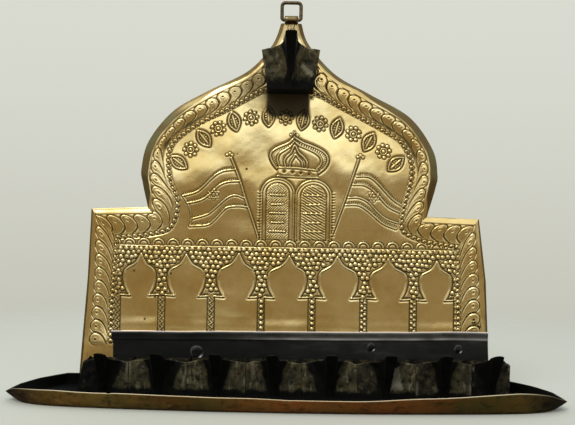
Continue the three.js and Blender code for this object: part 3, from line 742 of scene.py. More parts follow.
flags = {
    -1: {
        "pole": [(-30.3, 124.2), (-25.9, 113.4), (-22.3, 102.2), (-18.8, 92.4), (-15.0, 81.4)],
        "lines": [
            [(-28.3, 118.0), (-34.5, 117.2), (-38.4, 115.2), (-41.6, 112.5), (-44.8, 109.2),
             (-49.3, 105.5), (-56.5, 103.4)],
            [(-25.9, 111.8), (-31.8, 111.4), (-36.3, 109.7), (-40.2, 106.3), (-43.4, 103.3),
             (-47.3, 101.0), (-53.8, 99.5)],
            [(-23.1, 102.7), (-27.7, 104.2), (-31.6, 103.2), (-35.5, 100.2), (-39.4, 96.5),
             (-43.3, 93.5), (-51.1, 91.1)],
            [(-21.4, 97.8), (-26.3, 98.4), (-32.2, 97.6), (-35.4, 94.9), (-39.3, 90.6),
             (-43.2, 87.9), (-52.3, 87.1)],
        ],
        "end": [(-56.5, 103.4), (-53.5, 98.9), (-51.7, 93.0), (-52.3, 87.1)],
        "star": (-39.7, 104.2), "finial": (-31.3, 126.6),
    },
    1: {
        "pole": [(38.4, 124.4), (34.9, 113.6), (31.0, 101.5), (27.8, 92.3), (24.6, 83.5)],
        "lines": [
            [(37.3, 115.4), (43.9, 115.3), (48.8, 111.9), (53.6, 106.8), (57.6, 102.9), (62.4, 99.9)],
            [(35.3, 110.9), (41.5, 110.8), (46.8, 107.7), (51.4, 102.7), (55.5, 98.9), (61.6, 96.2)],
            [(32.7, 103.8), (38.6, 104.0), (43.8, 101.6), (48.4, 96.9), (53.2, 93.0), (60.0, 90.6)],
            [(31.2, 99.9), (38.3, 100.0), (43.2, 97.4), (47.6, 93.7), (52.6, 89.9), (59.0, 87.4)],
        ],
        "end": [], "star": (46.8, 104.9), "finial": (39.2, 126.6),
    },
}
starRadius = 3.1
crown = {
    "left": [(-6.0, 119.2), (-8.3, 122.3), (-9.5, 125.4), (-8.8, 127.9), (-6.6, 129.7), (-3.3, 131.3),
             (0.3, 133.0), (3.4, 136.0)],
    "right": [(16.7, 116.9), (19.8, 119.6), (21.5, 122.8), (21.0, 126.2), (18.4, 128.8), (13.9, 131.0),
              (8.0, 133.2), (3.4, 136.0)],
    "leftInner": [(-4.6, 120.4), (-5.6, 123.7), (-4.6, 127.0), (-1.5, 129.2), (1.2, 131.2), (3.4, 133.8)],
    "rightInner": [(15.6, 118.9), (17.9, 121.9), (17.7, 125.0), (15.1, 127.6), (10.6, 129.8), (6.4, 131.5),
                   (3.4, 133.8)],
    "leaf": [(-1.3, 120.2), (-1.9, 122.6), (-0.9, 125.1), (1.7, 127.8), (3.6, 131.6), (5.7, 127.9),
             (8.5, 125.3), (10.2, 122.8), (10.3, 120.0)],
    "heart": [(1.2, 120.2), (1.6, 122.5), (2.9, 124.7), (4.2, 126.6), (5.6, 125.0), (7.4, 122.8),
              (7.9, 120.1)],
    "bandTop": [(-5.6, 119.6), (5.0, 119.5), (16.2, 118.3)],
    "bandFoot": [(-5.6, 115.0), (5.0, 114.6), (16.4, 114.3)],
    "pips": [(-1.9, 117.4), (2.6, 117.1), (7.1, 116.7), (11.6, 116.2)],
    "top": [(3.3, 138.6), (1.5, 137.1), (5.0, 137.0)],
}
crownCurves = ("left", "right", "leftInner", "rightInner", "leaf", "heart")
spray = {
    "arc": [(-61.6, 117.5), (-56.3, 124.6), (-46.5, 133.6), (-38.2, 139.6), (-29.0, 143.9), (-14.5, 146.6),
            (0.5, 146.4), (14.5, 143.9), (30.5, 139.9), (41.5, 135.0), (52.0, 128.6), (61.4, 119.0)],
    "count": 15, "leafHalf": 5.2, "leafWidth": 2.9, "ring": 1.7, "petals": 3.3,
}


def tabletPath(number, shrink=0.0):
    # straight sides under a half circle
    left, right = field["tablets"][number]
    middle, radius = (left + right) / 2, (right - left) / 2 - shrink
    foot, shoulder = field["tabletFoot"], field["shoulders"][number]
    turns = np.linspace(0, math.pi, 28)
    arc = np.stack([middle + radius * np.cos(turns), shoulder + 0.93 * radius * np.sin(turns)], -1)
    return np.array([(middle + radius, foot), *arc, (middle - radius, foot)])


def arcadeRelief(height, x, z):
    # beads packed over the ground between pointed arches, ridged arch lines, and columns with a zigzag,
    # one row or two rows of beads
    paths, base, top = archPaths(), field["base"], field["top"]
    rim, clear = np.full(np.shape(x), 1e9), np.zeros(np.shape(x), bool)
    for path in paths:
        rim = np.minimum(rim, nearest(x, z, path))
        clear |= inside(x, z, path)
    low = z < top
    ground = np.where(clear | ~low, 0, ease(0, 0.9, rim))
    height += field["ground"] * ground * (1 - ease(top - 0.6, top + 0.2, z))
    height -= 0.26 * bell(rim - 0.95, 0.42) * ~clear * ease(base - 0.5, base + 1, z) * low
    beads = scatter(*field["beads"], field["beadPitch"], 21)
    keep = beads[:, 1] < top - 1.2
    for path in paths:
        keep &= ~inside(*beads.T, path) & (nearest(*beads.T, path) > 1.5)
    addDots(height, x, z, beads[keep], *studs["bead"])
    toColumn = np.abs(x[..., None] - np.array(field["columns"])).min(-1)
    height -= 0.34 * bell(toColumn - 1.95, 0.5) * (z < base)
    for path in paths:
        addLine(height, x, z, path[2:-2], *strokes["arch"])
        addLine(height, x, z, path[:2], *strokes["shaft"])
        addLine(height, x, z, path[-2:], *strokes["shaft"])
    for i, column in enumerate(field["columns"]):
        steps = [(0.85 * (-1) ** k, 29.5 + 1.45 * k + 0.2 * math.sin(k * 2.3 + i)) for k in range(14)]
        if i < 3:
            addChased(height, x, z, [(column + aside, up) for aside, up in steps], *strokes["zigzag"])
        elif i < 5:
            addDots(height, x, z, [(column + 0.2 * aside, up) for aside, up in steps[::2]], *studs["bead"])
        else:
            addDots(height, x, z, [(column + 0.95 * aside, up) for aside, up in steps], *studs["shaftBead"])
        level = base + 0.25 * math.sin(i * 1.7)
        for way in (-1, 1):
            ledge = [(column + way * 1.6, level), (column + way * 7.0, level - 0.3)]
            addChased(height, x, z, ledge, *strokes["ledge"])


def domeRelief(height, x, z):
    # a row of small half rings standing on a straight line
    foot, half, radius, pitch = (field[key] for key in ("domeFoot", "domeHalf", "domeRadius", "domePitch"))
    addChased(height, x, z, [(-half, foot - 0.8), (half, foot - 0.8)], *strokes["domeFoot"])
    along = (x - field["domeShift"]) / pitch
    r = np.hypot((along - np.round(along)) * pitch, (z - foot) * 1.02)
    up = ease(foot - 0.1, foot + 0.5, z) * (z < foot + 6) * (np.abs(x) < half - 1)
    ring = 0.36 * bell(r - radius + 0.45, 0.38) - 0.22 * bell(r - radius - 0.25, 0.3)
    height += up * (ring - 0.12 * bell(r - radius + 1.35, 0.34))


def starRelief(height, x, z, middle, radius):
    # two triangles laid over each other
    for turn in (90, -90):
        angles = np.radians(turn + 120 * np.arange(3))
        corners = np.array(middle) + radius * np.stack([np.cos(angles), np.sin(angles)], -1)
        addChased(height, x, z, corners, *strokes["star"], closed=True)


def flagRelief(height, x, z, flag):
    # a pole, two stripes each between two lines, a star between the stripes
    pole = throughPoints(flag["pole"], 20)
    addLine(height, x, z, pole + (0.5, 0.1), *strokes["besidePole"])
    addLine(height, x, z, pole - (0.25, 0), *strokes["pole"])
    lines = [throughPoints(line, 28) for line in flag["lines"]]
    for line in lines:
        addChased(height, x, z, line, *strokes["stripe"])
    for line in (lines[1], lines[3], lines[0]):
        addDots(height, x, z, evenly(line[2:] + (0.2, 1.35), 26), *studs["stripePit"])
    if flag["end"]:
        addChased(height, x, z, throughPoints(flag["end"], 14), *strokes["flagEnd"])
    starRelief(height, x, z, flag["star"], starRadius)
    cx, cz = flag["finial"]
    addDots(height, x, z, [(cx, cz), (cx - 1.5, cz - 0.9), (cx + 1.3, cz - 1.0)], *studs["finial"])


def tabletRelief(height, x, z):
    # two round-topped tablets, raised, with a double frame, a tooled ground and short plain bars
    crossed = np.sin(x * 4.4 + 1.2 * np.sin(z * 1.3)) * np.sin(z * 4.9 + 0.8 * np.sin(x * 1.1))
    slanted = np.sin((x * 0.55 + z) * 4.3 + 0.4 * np.sin(x * 1.9))
    for number, tooling in enumerate((crossed, slanted)):
        path = tabletPath(number)
        height += 0.30 * inside(x, z, path) * ease(0, 1.0, nearest(x, z, path, closed=True))
        addChased(height, x, z, path, *strokes["tablet"])
        addLine(height, x, z, tabletPath(number, 2.5), *strokes["tabletInside"])
        height += 0.15 * tooling * inside(x, z, tabletPath(number, 3.0))
        left, right = field["tablets"][number]
        middle, span = (left + right) / 2, (right - left) / 2 - 4.6
        for k, share in enumerate((1, 0.8, 1, 0.7, 0.9)):
            level = field["tabletFoot"] + 4.6 + 4.9 * k
            bar = [(middle - span * share, level + 0.15 * (-1) ** k), (middle + span * share, level)]
            addChased(height, x, z, bar, *strokes["bar"])
    for cx in field["ticks"]:
        for cz in field["tickFoot"] + field["tickPitch"] * np.arange(17):
            addLine(height, x, z, [(cx - 0.6, cz), (cx + 0.7, cz)], *strokes["tick"])


def crownRelief(height, x, z):
    # an onion dome of nested curves with short rays outside it, over a band with pips
    curves = {key: throughPoints(crown[key], 36) for key in crownCurves}
    outline = np.concatenate([curves["left"], curves["right"][::-1], crown["bandFoot"][::-1]])
    rim = nearest(x, z, outline, closed=True)
    height += 0.34 * inside(x, z, outline) * ease(0, 1.2, rim)
    for key in ("left", "right"):
        addChased(height, x, z, curves[key], *strokes["dome"])
        addChased(height, x, z, curves[key + "Inner"], *strokes["domeInside"])
    for key in ("leaf", "heart", "bandTop", "bandFoot"):
        addChased(height, x, z, curves.get(key, crown[key]), *strokes[key])
    addDots(height, x, z, crown["pips"], *studs["pip"])
    addDots(height, x, z, crown["top"], *studs["crownTop"])
    for key, out in (("left", 1), ("right", -1)):
        path = evenly(curves[key][:-4], 22)
        for place, way in zip(path, headings(path)):
            normal = np.array([way[1], -way[0]]) * out
            addLine(height, x, z, [place + normal, place + normal * 1.8], *strokes["ray"])


def circleRound(middle, along, radius, count):
    # places on a circle, begun in the direction along
    turns = np.linspace(0, math.tau, count + 1)[:-1, None]
    up = np.array([-along[1], along[0]])
    return middle + radius * (np.cos(turns) * along + np.sin(turns) * up)


def sprayRelief(height, x, z):
    # almond leaves and small rosettes by turns, standing on an arc over the tablets
    arc = evenly(throughPoints(spray["arc"], 200), spray["count"] * 20 + 1)
    half, wide = spray["leafHalf"], spray["leafWidth"]
    for k, (middle, along) in enumerate(zip(arc[10::20], headings(arc)[10::20])):
        if k % 2:
            ring = circleRound(middle, along, spray["ring"], 16)
            addChased(height, x, z, ring, *strokes["ring"], closed=True)
            petals = circleRound(middle, along, spray["petals"], 8)
            addDots(height, x, z, [*petals, middle], *studs["petal"])
        else:
            up = np.array([-along[1], along[0]])
            t = np.linspace(-1, 1, 15)[:, None]
            spine, belly = middle + half * t * up, wide * (1 - t * t) * along
            outline = np.concatenate([spine + belly, (spine - belly)[-2:0:-1]])
            height -= 0.08 * inside(x, z, outline)
            addChased(height, x, z, outline, *strokes["almond"], closed=True)
            addLine(height, x, z, [middle - half * 0.7 * up, middle + half * 0.7 * up], *strokes["rib"])
            shares = [(s, side) for s in np.linspace(-0.5, 0.5, 5) for side in (-0.5, 0.5)]
            veins = [middle + s * half * up + side * wide * along for s, side in shares]
            addDots(height, x, z, veins, *studs["vein"])


def cleanPanels(x, z, hollow):
    # old polish and dirt stay between the beads and down both sides of each column, and the panels are wiped
    closed, low = np.ones(np.shape(x), bool), z < field["top"]
    for path in archPaths():
        closed &= ~inside(x, z, path)
    aside = np.abs(x[..., None] - np.array(field["columns"])).min(-1)
    shaft = (aside < field["shaft"]) & (z < field["base"])
    dirt = (0.11 - 0.05 * bell(x, 35)) * closed * low * (z > field["base"]) + 0.16 * shaft
    dirt += 0.09 * (1 - ease(-92, -62, x)) * low
    return np.where(closed | ~low | (aside < field["shaft"] + 0.4), hollow, hollow * 0.35) + dirt


def fieldHeight(x, z):
    # the front face's height out from the rear: sheet, unevenness and every worked pattern on it
    height, withArcade = np.full(np.shape(x), plate["sheet"]), z.min() < field["top"]
    if withArcade:
        arcadeRelief(height, x, z)
    domeRelief(height, x, z)
    tabletRelief(height, x, z)
    crownRelief(height, x, z)
    for flag in flags.values():
        flagRelief(height, x, z, flag)
    sprayRelief(height, x, z)
    hollow = np.clip((blurred(height, 4) - height) / 0.11, 0, 1)
    if withArcade:
        hollow = cleanPanels(x, z, hollow)
    addDots(hollow, x, z, field["pits"], *studs["pit"])
    height += unevenness(x, z) * ease(30, 42, z) + 0.25 * (1 - ease(32.5, 39, z)) + swelling(x, z)
    near = np.minimum(*(nearest(x, z, beadPath(side, 60)) for side in (-1, 1)))
    left, right = beadLineAt(z)
    gap = near * np.where((x > left) & (x < right), 1, -1)
    height -= plate["tuck"] * (1 - ease(0.9, 1.5, gap))
    return np.maximum(height, plate["least"]), np.clip(hollow, 0, 1)


def fieldPiece(name, x, z):
    height, hollow = fieldHeight(x, z)
    places, faces = spots(x, height, z), [gridFaces(*x.shape)]
    newPiece(name, places, faces, "polished_brass", marks=plateMarks(x, z, hollow))


lower = {"across": (-95.6, 95.6, 560), "up": (28.5, 86.2, 172)}  # each from, to and count
upper = {"up": (86, 163.4, 236), "columns": 386, "past": 0.6}
x, z = np.meshgrid(np.linspace(*lower["across"]), np.linspace(*lower["up"]))
fieldPiece("field_lower", x, z)
z = np.linspace(*upper["up"])
left, right = beadLineAt(z)
x = np.linspace(left - upper["past"], right + upper["past"], upper["columns"], axis=1)
fieldPiece("field_upper", x, z[:, None] + 0 * x)

# The rear of the plate: one closed sheet, hollow where the front is raised

rear = {
    "pitch": 1.08, "columns": 126, "sideColumns": 33, "middle": 70.0, "skin": 0.12, "depth": 0.62,
    "inset": 0.14, "shoulders": (93.5, 97.4, 16), "rowTop": 158.0, "tarnish": 0.32,
}


def rearSheet():
    # rows from edge to edge, whose middle stretch keeps its width past the shoulders; their height out from
    # the rear plane is a soft copy of the front's relief, and a second skin just in front closes it
    ends = [borderStations(side, 0.5) for side in (-1, 1)]
    levels = np.arange(plate["foot"], plate["height"], rear["pitch"])
    z = np.unique(np.concatenate([levels, np.linspace(*rear["shoulders"]), [plate["height"]]]))
    left, right = (np.interp(z, edge[:, 1], edge[:, 0]) for edge, _ in ends)
    middle = np.minimum(np.minimum(-left, right) * 0.93, rear["middle"])
    x = np.concatenate([
        np.linspace(left + rear["inset"], -middle, rear["sideColumns"], axis=1)[:, :-1],
        np.linspace(-middle, middle, rear["columns"], axis=1),
        np.linspace(middle, right - rear["inset"], rear["sideColumns"], axis=1)[:, 1:],
    ], 1)
    z = z[:, None] + 0 * x
    depth = np.zeros(x.shape)
    for edge, line in ends:
        path = evenly(edge * 0.52 + line * 0.48, 150)
        toMiddle = nearest(x, z, path[path[:, 1] > 9])
        toRow = nearest(x, z, evenly(line[line[:, 1] < rear["rowTop"]], 110))
        depth = np.maximum(depth, np.maximum(0.42 * bell(toMiddle, 3.4), 0.36 * bell(toRow, 0.9)))
    worked = np.zeros(x.shape)
    lines = [crown[key] for key in (*crownCurves, "bandTop", "bandFoot")]
    lines += [line for flag in flags.values() for line in (*flag["lines"], flag["pole"])]
    for path in [*(throughPoints(line, 30) for line in lines), tabletPath(0), tabletPath(1), *archPaths()]:
        addLine(worked, x, z, path, 0.8, 0.4)
    depth = np.maximum(depth, np.clip(worked, 0, 0.45))
    depth *= ease(0, 1.5, x - left[:, None]) * ease(0, 1.5, right[:, None] - x)
    depth *= ease(1, 3, z) * (1 - ease(192, 195, z))
    depth = np.clip(depth, 0, rear["depth"])
    hollow = ease(0.1, 0.5, depth) * 0.4
    (rows, columns), n = x.shape, x.size
    firsts, along = np.arange(rows) * columns, np.arange(columns)
    rim = np.concatenate([along, firsts[1:] + columns - 1, firsts[-1] + along[-2::-1], firsts[-2:0:-1]])
    turned = np.roll(rim, -1)
    wall = np.stack([rim, turned, turned + n, rim + n], -1)
    faces = [gridFaces(rows, columns)[:, ::-1], gridFaces(rows, columns, first=n), wall]
    places = np.concatenate([spots(x, depth, z), spots(x, depth + rear["skin"], z)])
    marks = {
        "hollow": np.concatenate([hollow.ravel(), np.zeros(n)]), "tarnish": np.full(2 * n, rear["tarnish"]),
    }
    newPiece("plate_rear", places, faces, "polished_brass", replaced=["backplate"], marks=marks, crisp=60)


rearSheet()

# The tongue at the tip of the neck, rolled forward round the link

tongue = {
    "half": 3.7, "pivot": 199.0, "inner": 1.3, "outer": 2.3, "angle": 290, "foot": 195.0, "wall": 0.48,
    "curve": 0.25,
}


def tonguePiece():
    # the sheet's middle line goes up, then round the pivot; the wall is half a sheet either side of it,
    # and each end of a ring is rounded over the sheet's cut edges
    pivot, centre = tongue["pivot"], (tongue["inner"] + tongue["outer"]) / 2
    angle = np.radians(np.linspace(0, tongue["angle"], 64))
    out = np.r_[np.full(5, plate["sheet"] / 2), tongue["outer"] - centre * np.cos(angle)]
    up = np.r_[np.linspace(tongue["foot"], pivot - 0.4, 5), pivot + centre * np.sin(angle)]
    path = np.stack([out, up], -1)
    way = headings(path)
    half, wall, curve = (tongue[key] for key in ("half", "wall", "curve"))
    face = [curve - half, -half / 2, 0, half / 2, half - curve]
    across = np.array([*face, half, half, *face[::-1], -half, -half])
    lift = np.array([wall] * 5 + [wall - curve, curve - wall] + [-wall] * 5 + [curve - wall, wall - curve])
    lift = lift * np.r_[np.ones(len(path) - 4), 0.97, 0.9, 0.75, 0.5][:, None]
    x = plate["neck"] + across * np.linspace(1.0, 0.95, len(path))[:, None]
    places = spots(x, path[:, :1] - way[:, 1:] * lift, path[:, 1:] + way[:, :1] * lift)
    faces = tubeFaces(places, *x.shape)
    newPiece("tongue", places, faces, "polished_brass", marks={"tarnish": np.ones(x.size)}, crisp=50)


tonguePiece()

# Sheet vessels: rings of places from the foot up outside, over the rim and down inside


def shell(name, rings, slot, node, marks, crisp):
    # rings is an array of levels by places round by (x, out, z)
    places = spots(rings[..., 0], rings[..., 1], rings[..., 2])
    faces = tubeFaces(places, *rings.shape[:2])
    newPiece(name, places, faces, slot, replaced=[node], marks=marks, crisp=crisp)


def inwards(ring, distance, spread=2):
    # each place moves in square to the ring, seen from above, by the sheet's thickness
    way = np.roll(ring[:, :2], -1, 0) - np.roll(ring[:, :2], 1, 0)
    normal = np.stack([way[:, 1], -way[:, 0]], -1)
    for _ in range(spread):
        normal = (np.roll(normal, 1, 0) + 2 * normal + np.roll(normal, -1, 0)) / 4
    normal /= np.linalg.norm(normal, axis=1)[:, None] + 1e-9
    middle = ring[:, :2].mean(0)
    if np.einsum("ij,ij->", normal, ring[:, :2] - middle) > 0:
        normal = -normal
    moved = ring.copy()
    moved[:, :2] += normal * distance
    return moved


print("cups")
cups = {
    "height": 19.2, "heightShares": [0.9, 0.91, 0.93, 0.93, 0.95, 0.96, 0.98, 1], "foot": 0.9, "back": 3.2,
    "depth": 20.3, "sheet": 0.8, "reach": 15.0, "rise": 6.2, "lip": 2.9, "root": 9.0, "keel": 1.3,
    "keelReach": 1.6, "corner": 0.25, "swell": 0.11, "firstTuck": 3.2, "dents": 0.34,
    "leans": [0.5, 0.9, 0.2, -0.7, 0.3, 0.8, -0.9, 0.2],
    "clears": [(0.10, 0.55), (0.80, 1.0), (1.0, 0.70), (0.60, 0.66), (0.72, 0.80), (0.40, 0.92),
               (0.38, 0.68), (0.12, 0.38)],  # how light the left and the right half is; the rest is darkened on the soot mark
    "shades": [(-6, 11), (-6, 12.5), (-6, 7.5), (-7, 6), (-12, 6), (-8, 3.4), (-6, 5), (-9, 4)],  # from, to: where the painted shadow beside each spout runs
    "bare": 0.8, "soot": 1.0, "footDark": 1.0, "lowReach": 4.6,
    # facet and shine outline a painted highlight, on cup 6 and on the servant cup
    "facet": [(56.4, 17.0), (59.0, 16.6), (61.2, 4.8), (54.8, 5.2), (55.9, 11)], "paintedShineShare": 0.7,
}
servant = {
    "middle": plate["neck"], "footHalf": 12.0, "rimHalf": 15.1, "foot": 159.2, "height": 20.6, "back": 2.2,
    "depth": 20.5, "reach": 17.5, "rise": 6.4, "tuck": 0.0, "lean": 0.0, "dents": 0.5, "shade": (-3.6, 3.2),
    "clear": (0.80, 0.95), "bare": 3.6, "soot": 0.95, "footDark": 0.95, "lowReach": 12.0, "paintedShineShare": 0.75,
    "shine": [(5.6, 171.3), (7.4, 172.2), (9.8, 169.8), (12.7, 166.8), (12.1, 165.7), (9.2, 166.8),
              (6.8, 169.2)],
}


def cupPlan(form, share):
    # at a share s of the height the plan is back, side, front, then a curve out to the spout's lip, and back;
    # the spout opens with s^1.6 and lifts with it, and the rim sags a little at each junction
    half = form["footHalf"] + (form["rimHalf"] - form["footHalf"]) * share
    opened, back, front, corner = share**1.6, form["back"], form["back"] + form["depth"], cups["corner"]
    lip = cups["keel"] + (cups["lip"] - cups["keel"]) * opened
    root = min(cups["keel"] * 2 + (cups["root"] - cups["keel"] * 2) * opened, half * 0.72)
    reach = cups["keelReach"] + (form["reach"] - cups["keelReach"]) * opened
    turn = np.linspace(0, math.pi / 2, 6)[1:-1]
    bend = [half - corner + corner * np.cos(turn), front - corner + corner * np.sin(turn), 0 * turn]
    flank = throughPoints([
        (half - corner, front, 0), ((half + root) / 2, front + 0.2, 0.01), (root, front + 0.1, 0.07),
        (lip * 1.35, front + reach * 0.42, 0.36), (lip * 1.08, front + reach * 0.8, 0.78),
        (lip, front + reach, 0.9),
    ], 34)
    turn = np.linspace(0, math.pi, 10)[1:-1]
    tip = np.stack([lip * np.cos(turn), front + reach + 0.35 * np.sin(turn), 0.9 + 0.1 * np.sin(turn)], -1)
    side = np.stack([np.full(18, half), np.linspace(back, front - corner, 18), np.zeros(18)], -1)
    rear = np.stack([np.linspace(-half, half, 27)[:-1], np.full(26, back), np.zeros(26)], -1)
    right = np.concatenate([side, np.stack(bend, -1), flank])
    ring = np.concatenate([rear, right, tip, right[::-1] * (-1, 1, 1)])
    x, out, up = ring.T
    sag = 0.6 * bell(np.abs(x) - half, 2.4) * ease(back + 2, back + 8, out)
    sag += 1.4 * (1 - ease(back + 0.5, back + 6, out))
    z = form["foot"] + form["height"] * share + opened * (form["rise"] * up - sag)
    return np.stack([x * np.where(x < 0, 1 - form["tuck"] * share / half, 1), out, z], -1)


def cupMarks(rings, rim, form, seed):
    # black inside and behind; black on the spout, soot with painted shade; a painted shadow on a stretch of
    # the front beside and under the spout; darker towards the foot, and darker the less clear each half is;
    # worn tin along the rim and at the seams, and a painted highlight on a facet. The rings before number rim
    # are the outside
    x, out, z = rings[..., 0] - form["middle"], rings[..., 1], rings[..., 2]
    level, front = np.arange(len(rings))[:, None], form["back"] + form["depth"]
    onFront = ease(front - 2.5, front - 0.5, out)
    wander = x + 0.9 * waves(z, 0 * z, 11, 5, seed + 3)
    risen = 0.55 + 0.45 * np.clip((z - form["foot"]) / form["height"], 0, 1)
    leftEnd, rightEnd = (end * risen for end in form["shade"])
    # painted shadow beside and under each spout, on the soot mark
    shade = ease(leftEnd - 1.2, leftEnd + 1.4, wander) * (1 - ease(rightEnd - 1.4, rightEnd + 1.2, wander))
    # the spout's flanks: soot with painted shade
    forward = ease(front + form["bare"], front + form["bare"] + 2.2, out)
    # darker towards the foot
    wavyLevel = z + 0.9 * waves(x, 0 * x, 5, 5, seed + 8)
    low = 1 - ease(form["foot"] + 0.8, form["foot"] + form["lowReach"], wavyLevel)
    soot = form["soot"] * np.maximum(forward, shade * onFront * 0.8)
    soot = np.maximum(soot, low * form["footDark"])
    soot = np.maximum(soot, 0.85 * (1 - np.where(x < 0, *form["clear"])))
    soot = np.where((level > rim) | (onFront < 0.1), 1.0, np.maximum(soot, 1 - onFront))
    wall = (1 - ease(form["back"] + 1.2, form["back"] + 2.2, out)) * ease(0.3, 0.7, z / form["height"])
    soot -= 0.5 * (level > rim) * wall
    fromSide = np.abs(x).max(1, keepdims=True) - np.abs(x)
    seam = bell(fromSide - 0.6, 0.55) * onFront * ease(0.1, 0.6, waves(z + seed * 5, x * 0, 9, 5, seed))
    broken = ease(-0.3, 0.6, waves(x + seed * 11, 0 * x, 5, 6, seed + 21))
    worn = onFront * (0.05 + 0.2 * broken) * (1 - 0.7 * forward)
    edge = np.where(np.abs(level - rim) <= 1, worn, 0.5 * seam * (1 - low)) * (level <= rim + 1)
    # painted highlight: the facet's outline is made pale on the edge mark
    if form["shine"]:
        facet = inside(rings[..., 0], z, form["shine"]) * (level < rim) * onFront
        edge = np.maximum(edge, facet * form["paintedShineShare"])
    return {"soot": soot, "edge": edge}


def cupPiece(node, form, seed):
    # the outside from foot to rim with its dents, over the rim, and down the inside
    shares = np.r_[0, 0.02, np.linspace(0.06, 0.94, 20), 0.975, 1]
    lift, front = shares[:, None], form["back"] + form["depth"]
    outside = np.stack([cupPlan(form, share) for share in shares])
    x, out, z = np.moveaxis(outside.copy(), -1, 0)
    dent = waves(x + seed * 31, z * 1.3, 9, 8, seed) + 0.6 * waves(x * 2.2, z, 7, 6, seed + 50)
    outside[..., 1] += form["dents"] * dent * ease(front - 4, front + 1, out) * ease(0, 0.2, lift)
    outside[..., 0] += form["middle"] + form["lean"] * ease(0.2, 1, lift) * ease(front, front + 12, out)
    outside[..., 2] += 0.30 * waves(x + 7 * seed, out, 8, 6, seed + 9) * ease(0.85, 1, lift)
    inner = [inwards(ring, cups["sheet"] * 0.95) for ring in outside[::-1][:-2]]
    over = (outside[-1] + inner[0]) / 2 + (0, 0, 0.18)
    inner[-1][:, 2] = form["foot"] + cups["sheet"]
    rings = np.concatenate([outside, [over], inner])
    shell(node + "_sheet", rings, "sooty_tin", node, cupMarks(rings, len(outside), form, seed), 55)


for i in range(8):
    node = f"oil_cup_{i + 1}"
    low, high = boxOf(node)
    half = (high[0] - low[0]) / 2 + (cups["swell"] if 0 < i < 7 else 0)
    cupPiece(node, {
        **cups, "middle": (low[0] + high[0]) / 2, "footHalf": half, "rimHalf": half,
        "height": cups["height"] * cups["heightShares"][i] - cups["foot"], "lean": cups["leans"][i],
        "tuck": 0.0 if i else cups["firstTuck"], "clear": cups["clears"][i], "shade": cups["shades"][i],
        "shine": cups["facet"] if i == 5 else [],
    }, i + 3)
cupPiece("servant_cup", servant, 40)

print("tray")
tray = {
    "middle": 1.3, "half": 139.5, "depth": 61.5, "sheet": 0.9, "height": 6.6, "floorHalf": 133.0,
    "floorDepth": 58.0,
    "rimBack": [(0.846, 0), (0.884, 0.1), (0.93, 0.24), (0.975, 0.44)],  # shares of the half and the depth
    "rimFront": [(1, 0.64), (0.93, 0.79), (0.8, 0.88), (0.57, 0.945), (0.29, 0.985), (0, 1)],
    "floorBack": [(0.9, 0), (0.938, 0.14), (0.97, 0.33), (0.99, 0.5)],
    "floorFront": [(1, 0.69), (0.955, 0.79), (0.85, 0.875), (0.61, 0.94), (0.31, 0.985), (0, 1)],
    "heightShares": [1, 0.98, 0.95, 0.85, 0.58, 0.85, 1, 1, 0.95, 0.88], "nick": -83.6,
    "bends": [(-138, 0.6), (-132, 1.6), (-116, 1.3), (-92, 0.9), (-70, 1.1), (-40, 0.9), (0, 0.8), (24, 0.2),
              (48, 0.7), (68, 1.3), (98, 2.6), (116, 3.6), (128, 2.9), (136, 1.0), (141, 0.0)],
    "stretches": {  # where along the front, and how much, the brass has turned each colour
        "golden": [(-128, 0.1), (-110, 0.55), (-94, 0.9), (-76, 0.6), (-62, 0.2), (-24, 0.0), (96, 0.0),
                   (112, 0.25), (130, 0.1)],
        "coppery": [(-34, 0.0), (-22, 0.5), (-8, 0.8), (7, 1.0), (22, 0.6), (66, 0.4), (84, 0.1)],
        "olive": [(-140, 0.6), (-118, 0.3), (-108, 0.0), (-58, 0.1), (-44, 0.8), (-30, 0.5), (-22, 0),
                  (70, 0.1), (84, 0.8), (96, 1.2), (108, 1.0), (140, 0.9)],
    },
}


def trayRing(half, depth, back, front, tall):
    # seen from above: the back edge, then each side's curve out to its point and along the front
    sides = []
    for sign in (-1, 1):
        backPoints, frontPoints = (
            [(tray["middle"] + sign * across * half, plate["sheet"] + out * depth) for across, out in points]
            for points in (back, front))
        rear, fore = throughPoints(backPoints, 24), throughPoints(frontPoints, 130)
        sides.append(np.concatenate([rear, np.linspace(rear[-1], fore[0], 8)[1:-1], fore]))
    rear = np.linspace(sides[1][0], sides[0][0], 42)[1:-1]
    plan = np.concatenate([sides[0], sides[1][::-1][1:], rear])
    at = np.r_[np.linspace(0, 3, 25), np.linspace(3, 4, 8)[1:-1], np.linspace(4, 9, 131)]
    lift = np.interp(at, np.arange(10), tray["heightShares"])
    lift = np.r_[lift, lift[::-1][1:], np.full(len(rear), tray["heightShares"][0])]
    return np.concatenate([plan, (tall * lift)[:, None]], 1)


def trayMarks(rings, rim):
    # black inside, behind, along the foot and at the points, with a black nick down the front and a painted
    # highlight along the rim, in stretches of colour. The rings before number rim are the outside
    x, out, z = np.moveaxis(rings, -1, 0)
    level = np.arange(len(rings))[:, None] + 0 * x
    fore, ends = ease(28, 46, out), ease(112, 134, np.abs(x - tray["middle"] + 3))
    soot = np.maximum(ease(rim - 0.5, rim + 1.5, level), 0.95 * (1 - fore))
    soot = np.maximum(soot, 0.75 * (1 - ease(0.2, 1.3, z)))
    smudge = 0.85 + 0.25 * waves(x, z * 3, 9, 6, 31)
    soot = np.maximum(soot, np.minimum(1.15 * ends * fore * smudge, 0.88))
    nick = bell(x - tray["nick"] - 0.35 * np.sin(z * 2.3), 0.42) * fore * ease(0.3, 1.6, z)
    # painted highlight: a bright line along the rim, strongest on the front
    edge = bell(level - rim + 0.1, 0.75) * (0.12 + 0.88 * fore) * (1 - 0.85 * ends)
    marks = {"soot": np.maximum(soot, nick * 0.95), "edge": np.clip(edge * (1 - nick), 0, 1)}
    wander = x + 5 * waves(x, z * 4, 16, 6, 3)
    for hue, points in tray["stretches"].items():
        marks[hue] = np.interp(wander, *np.array(points).T)
    return marks


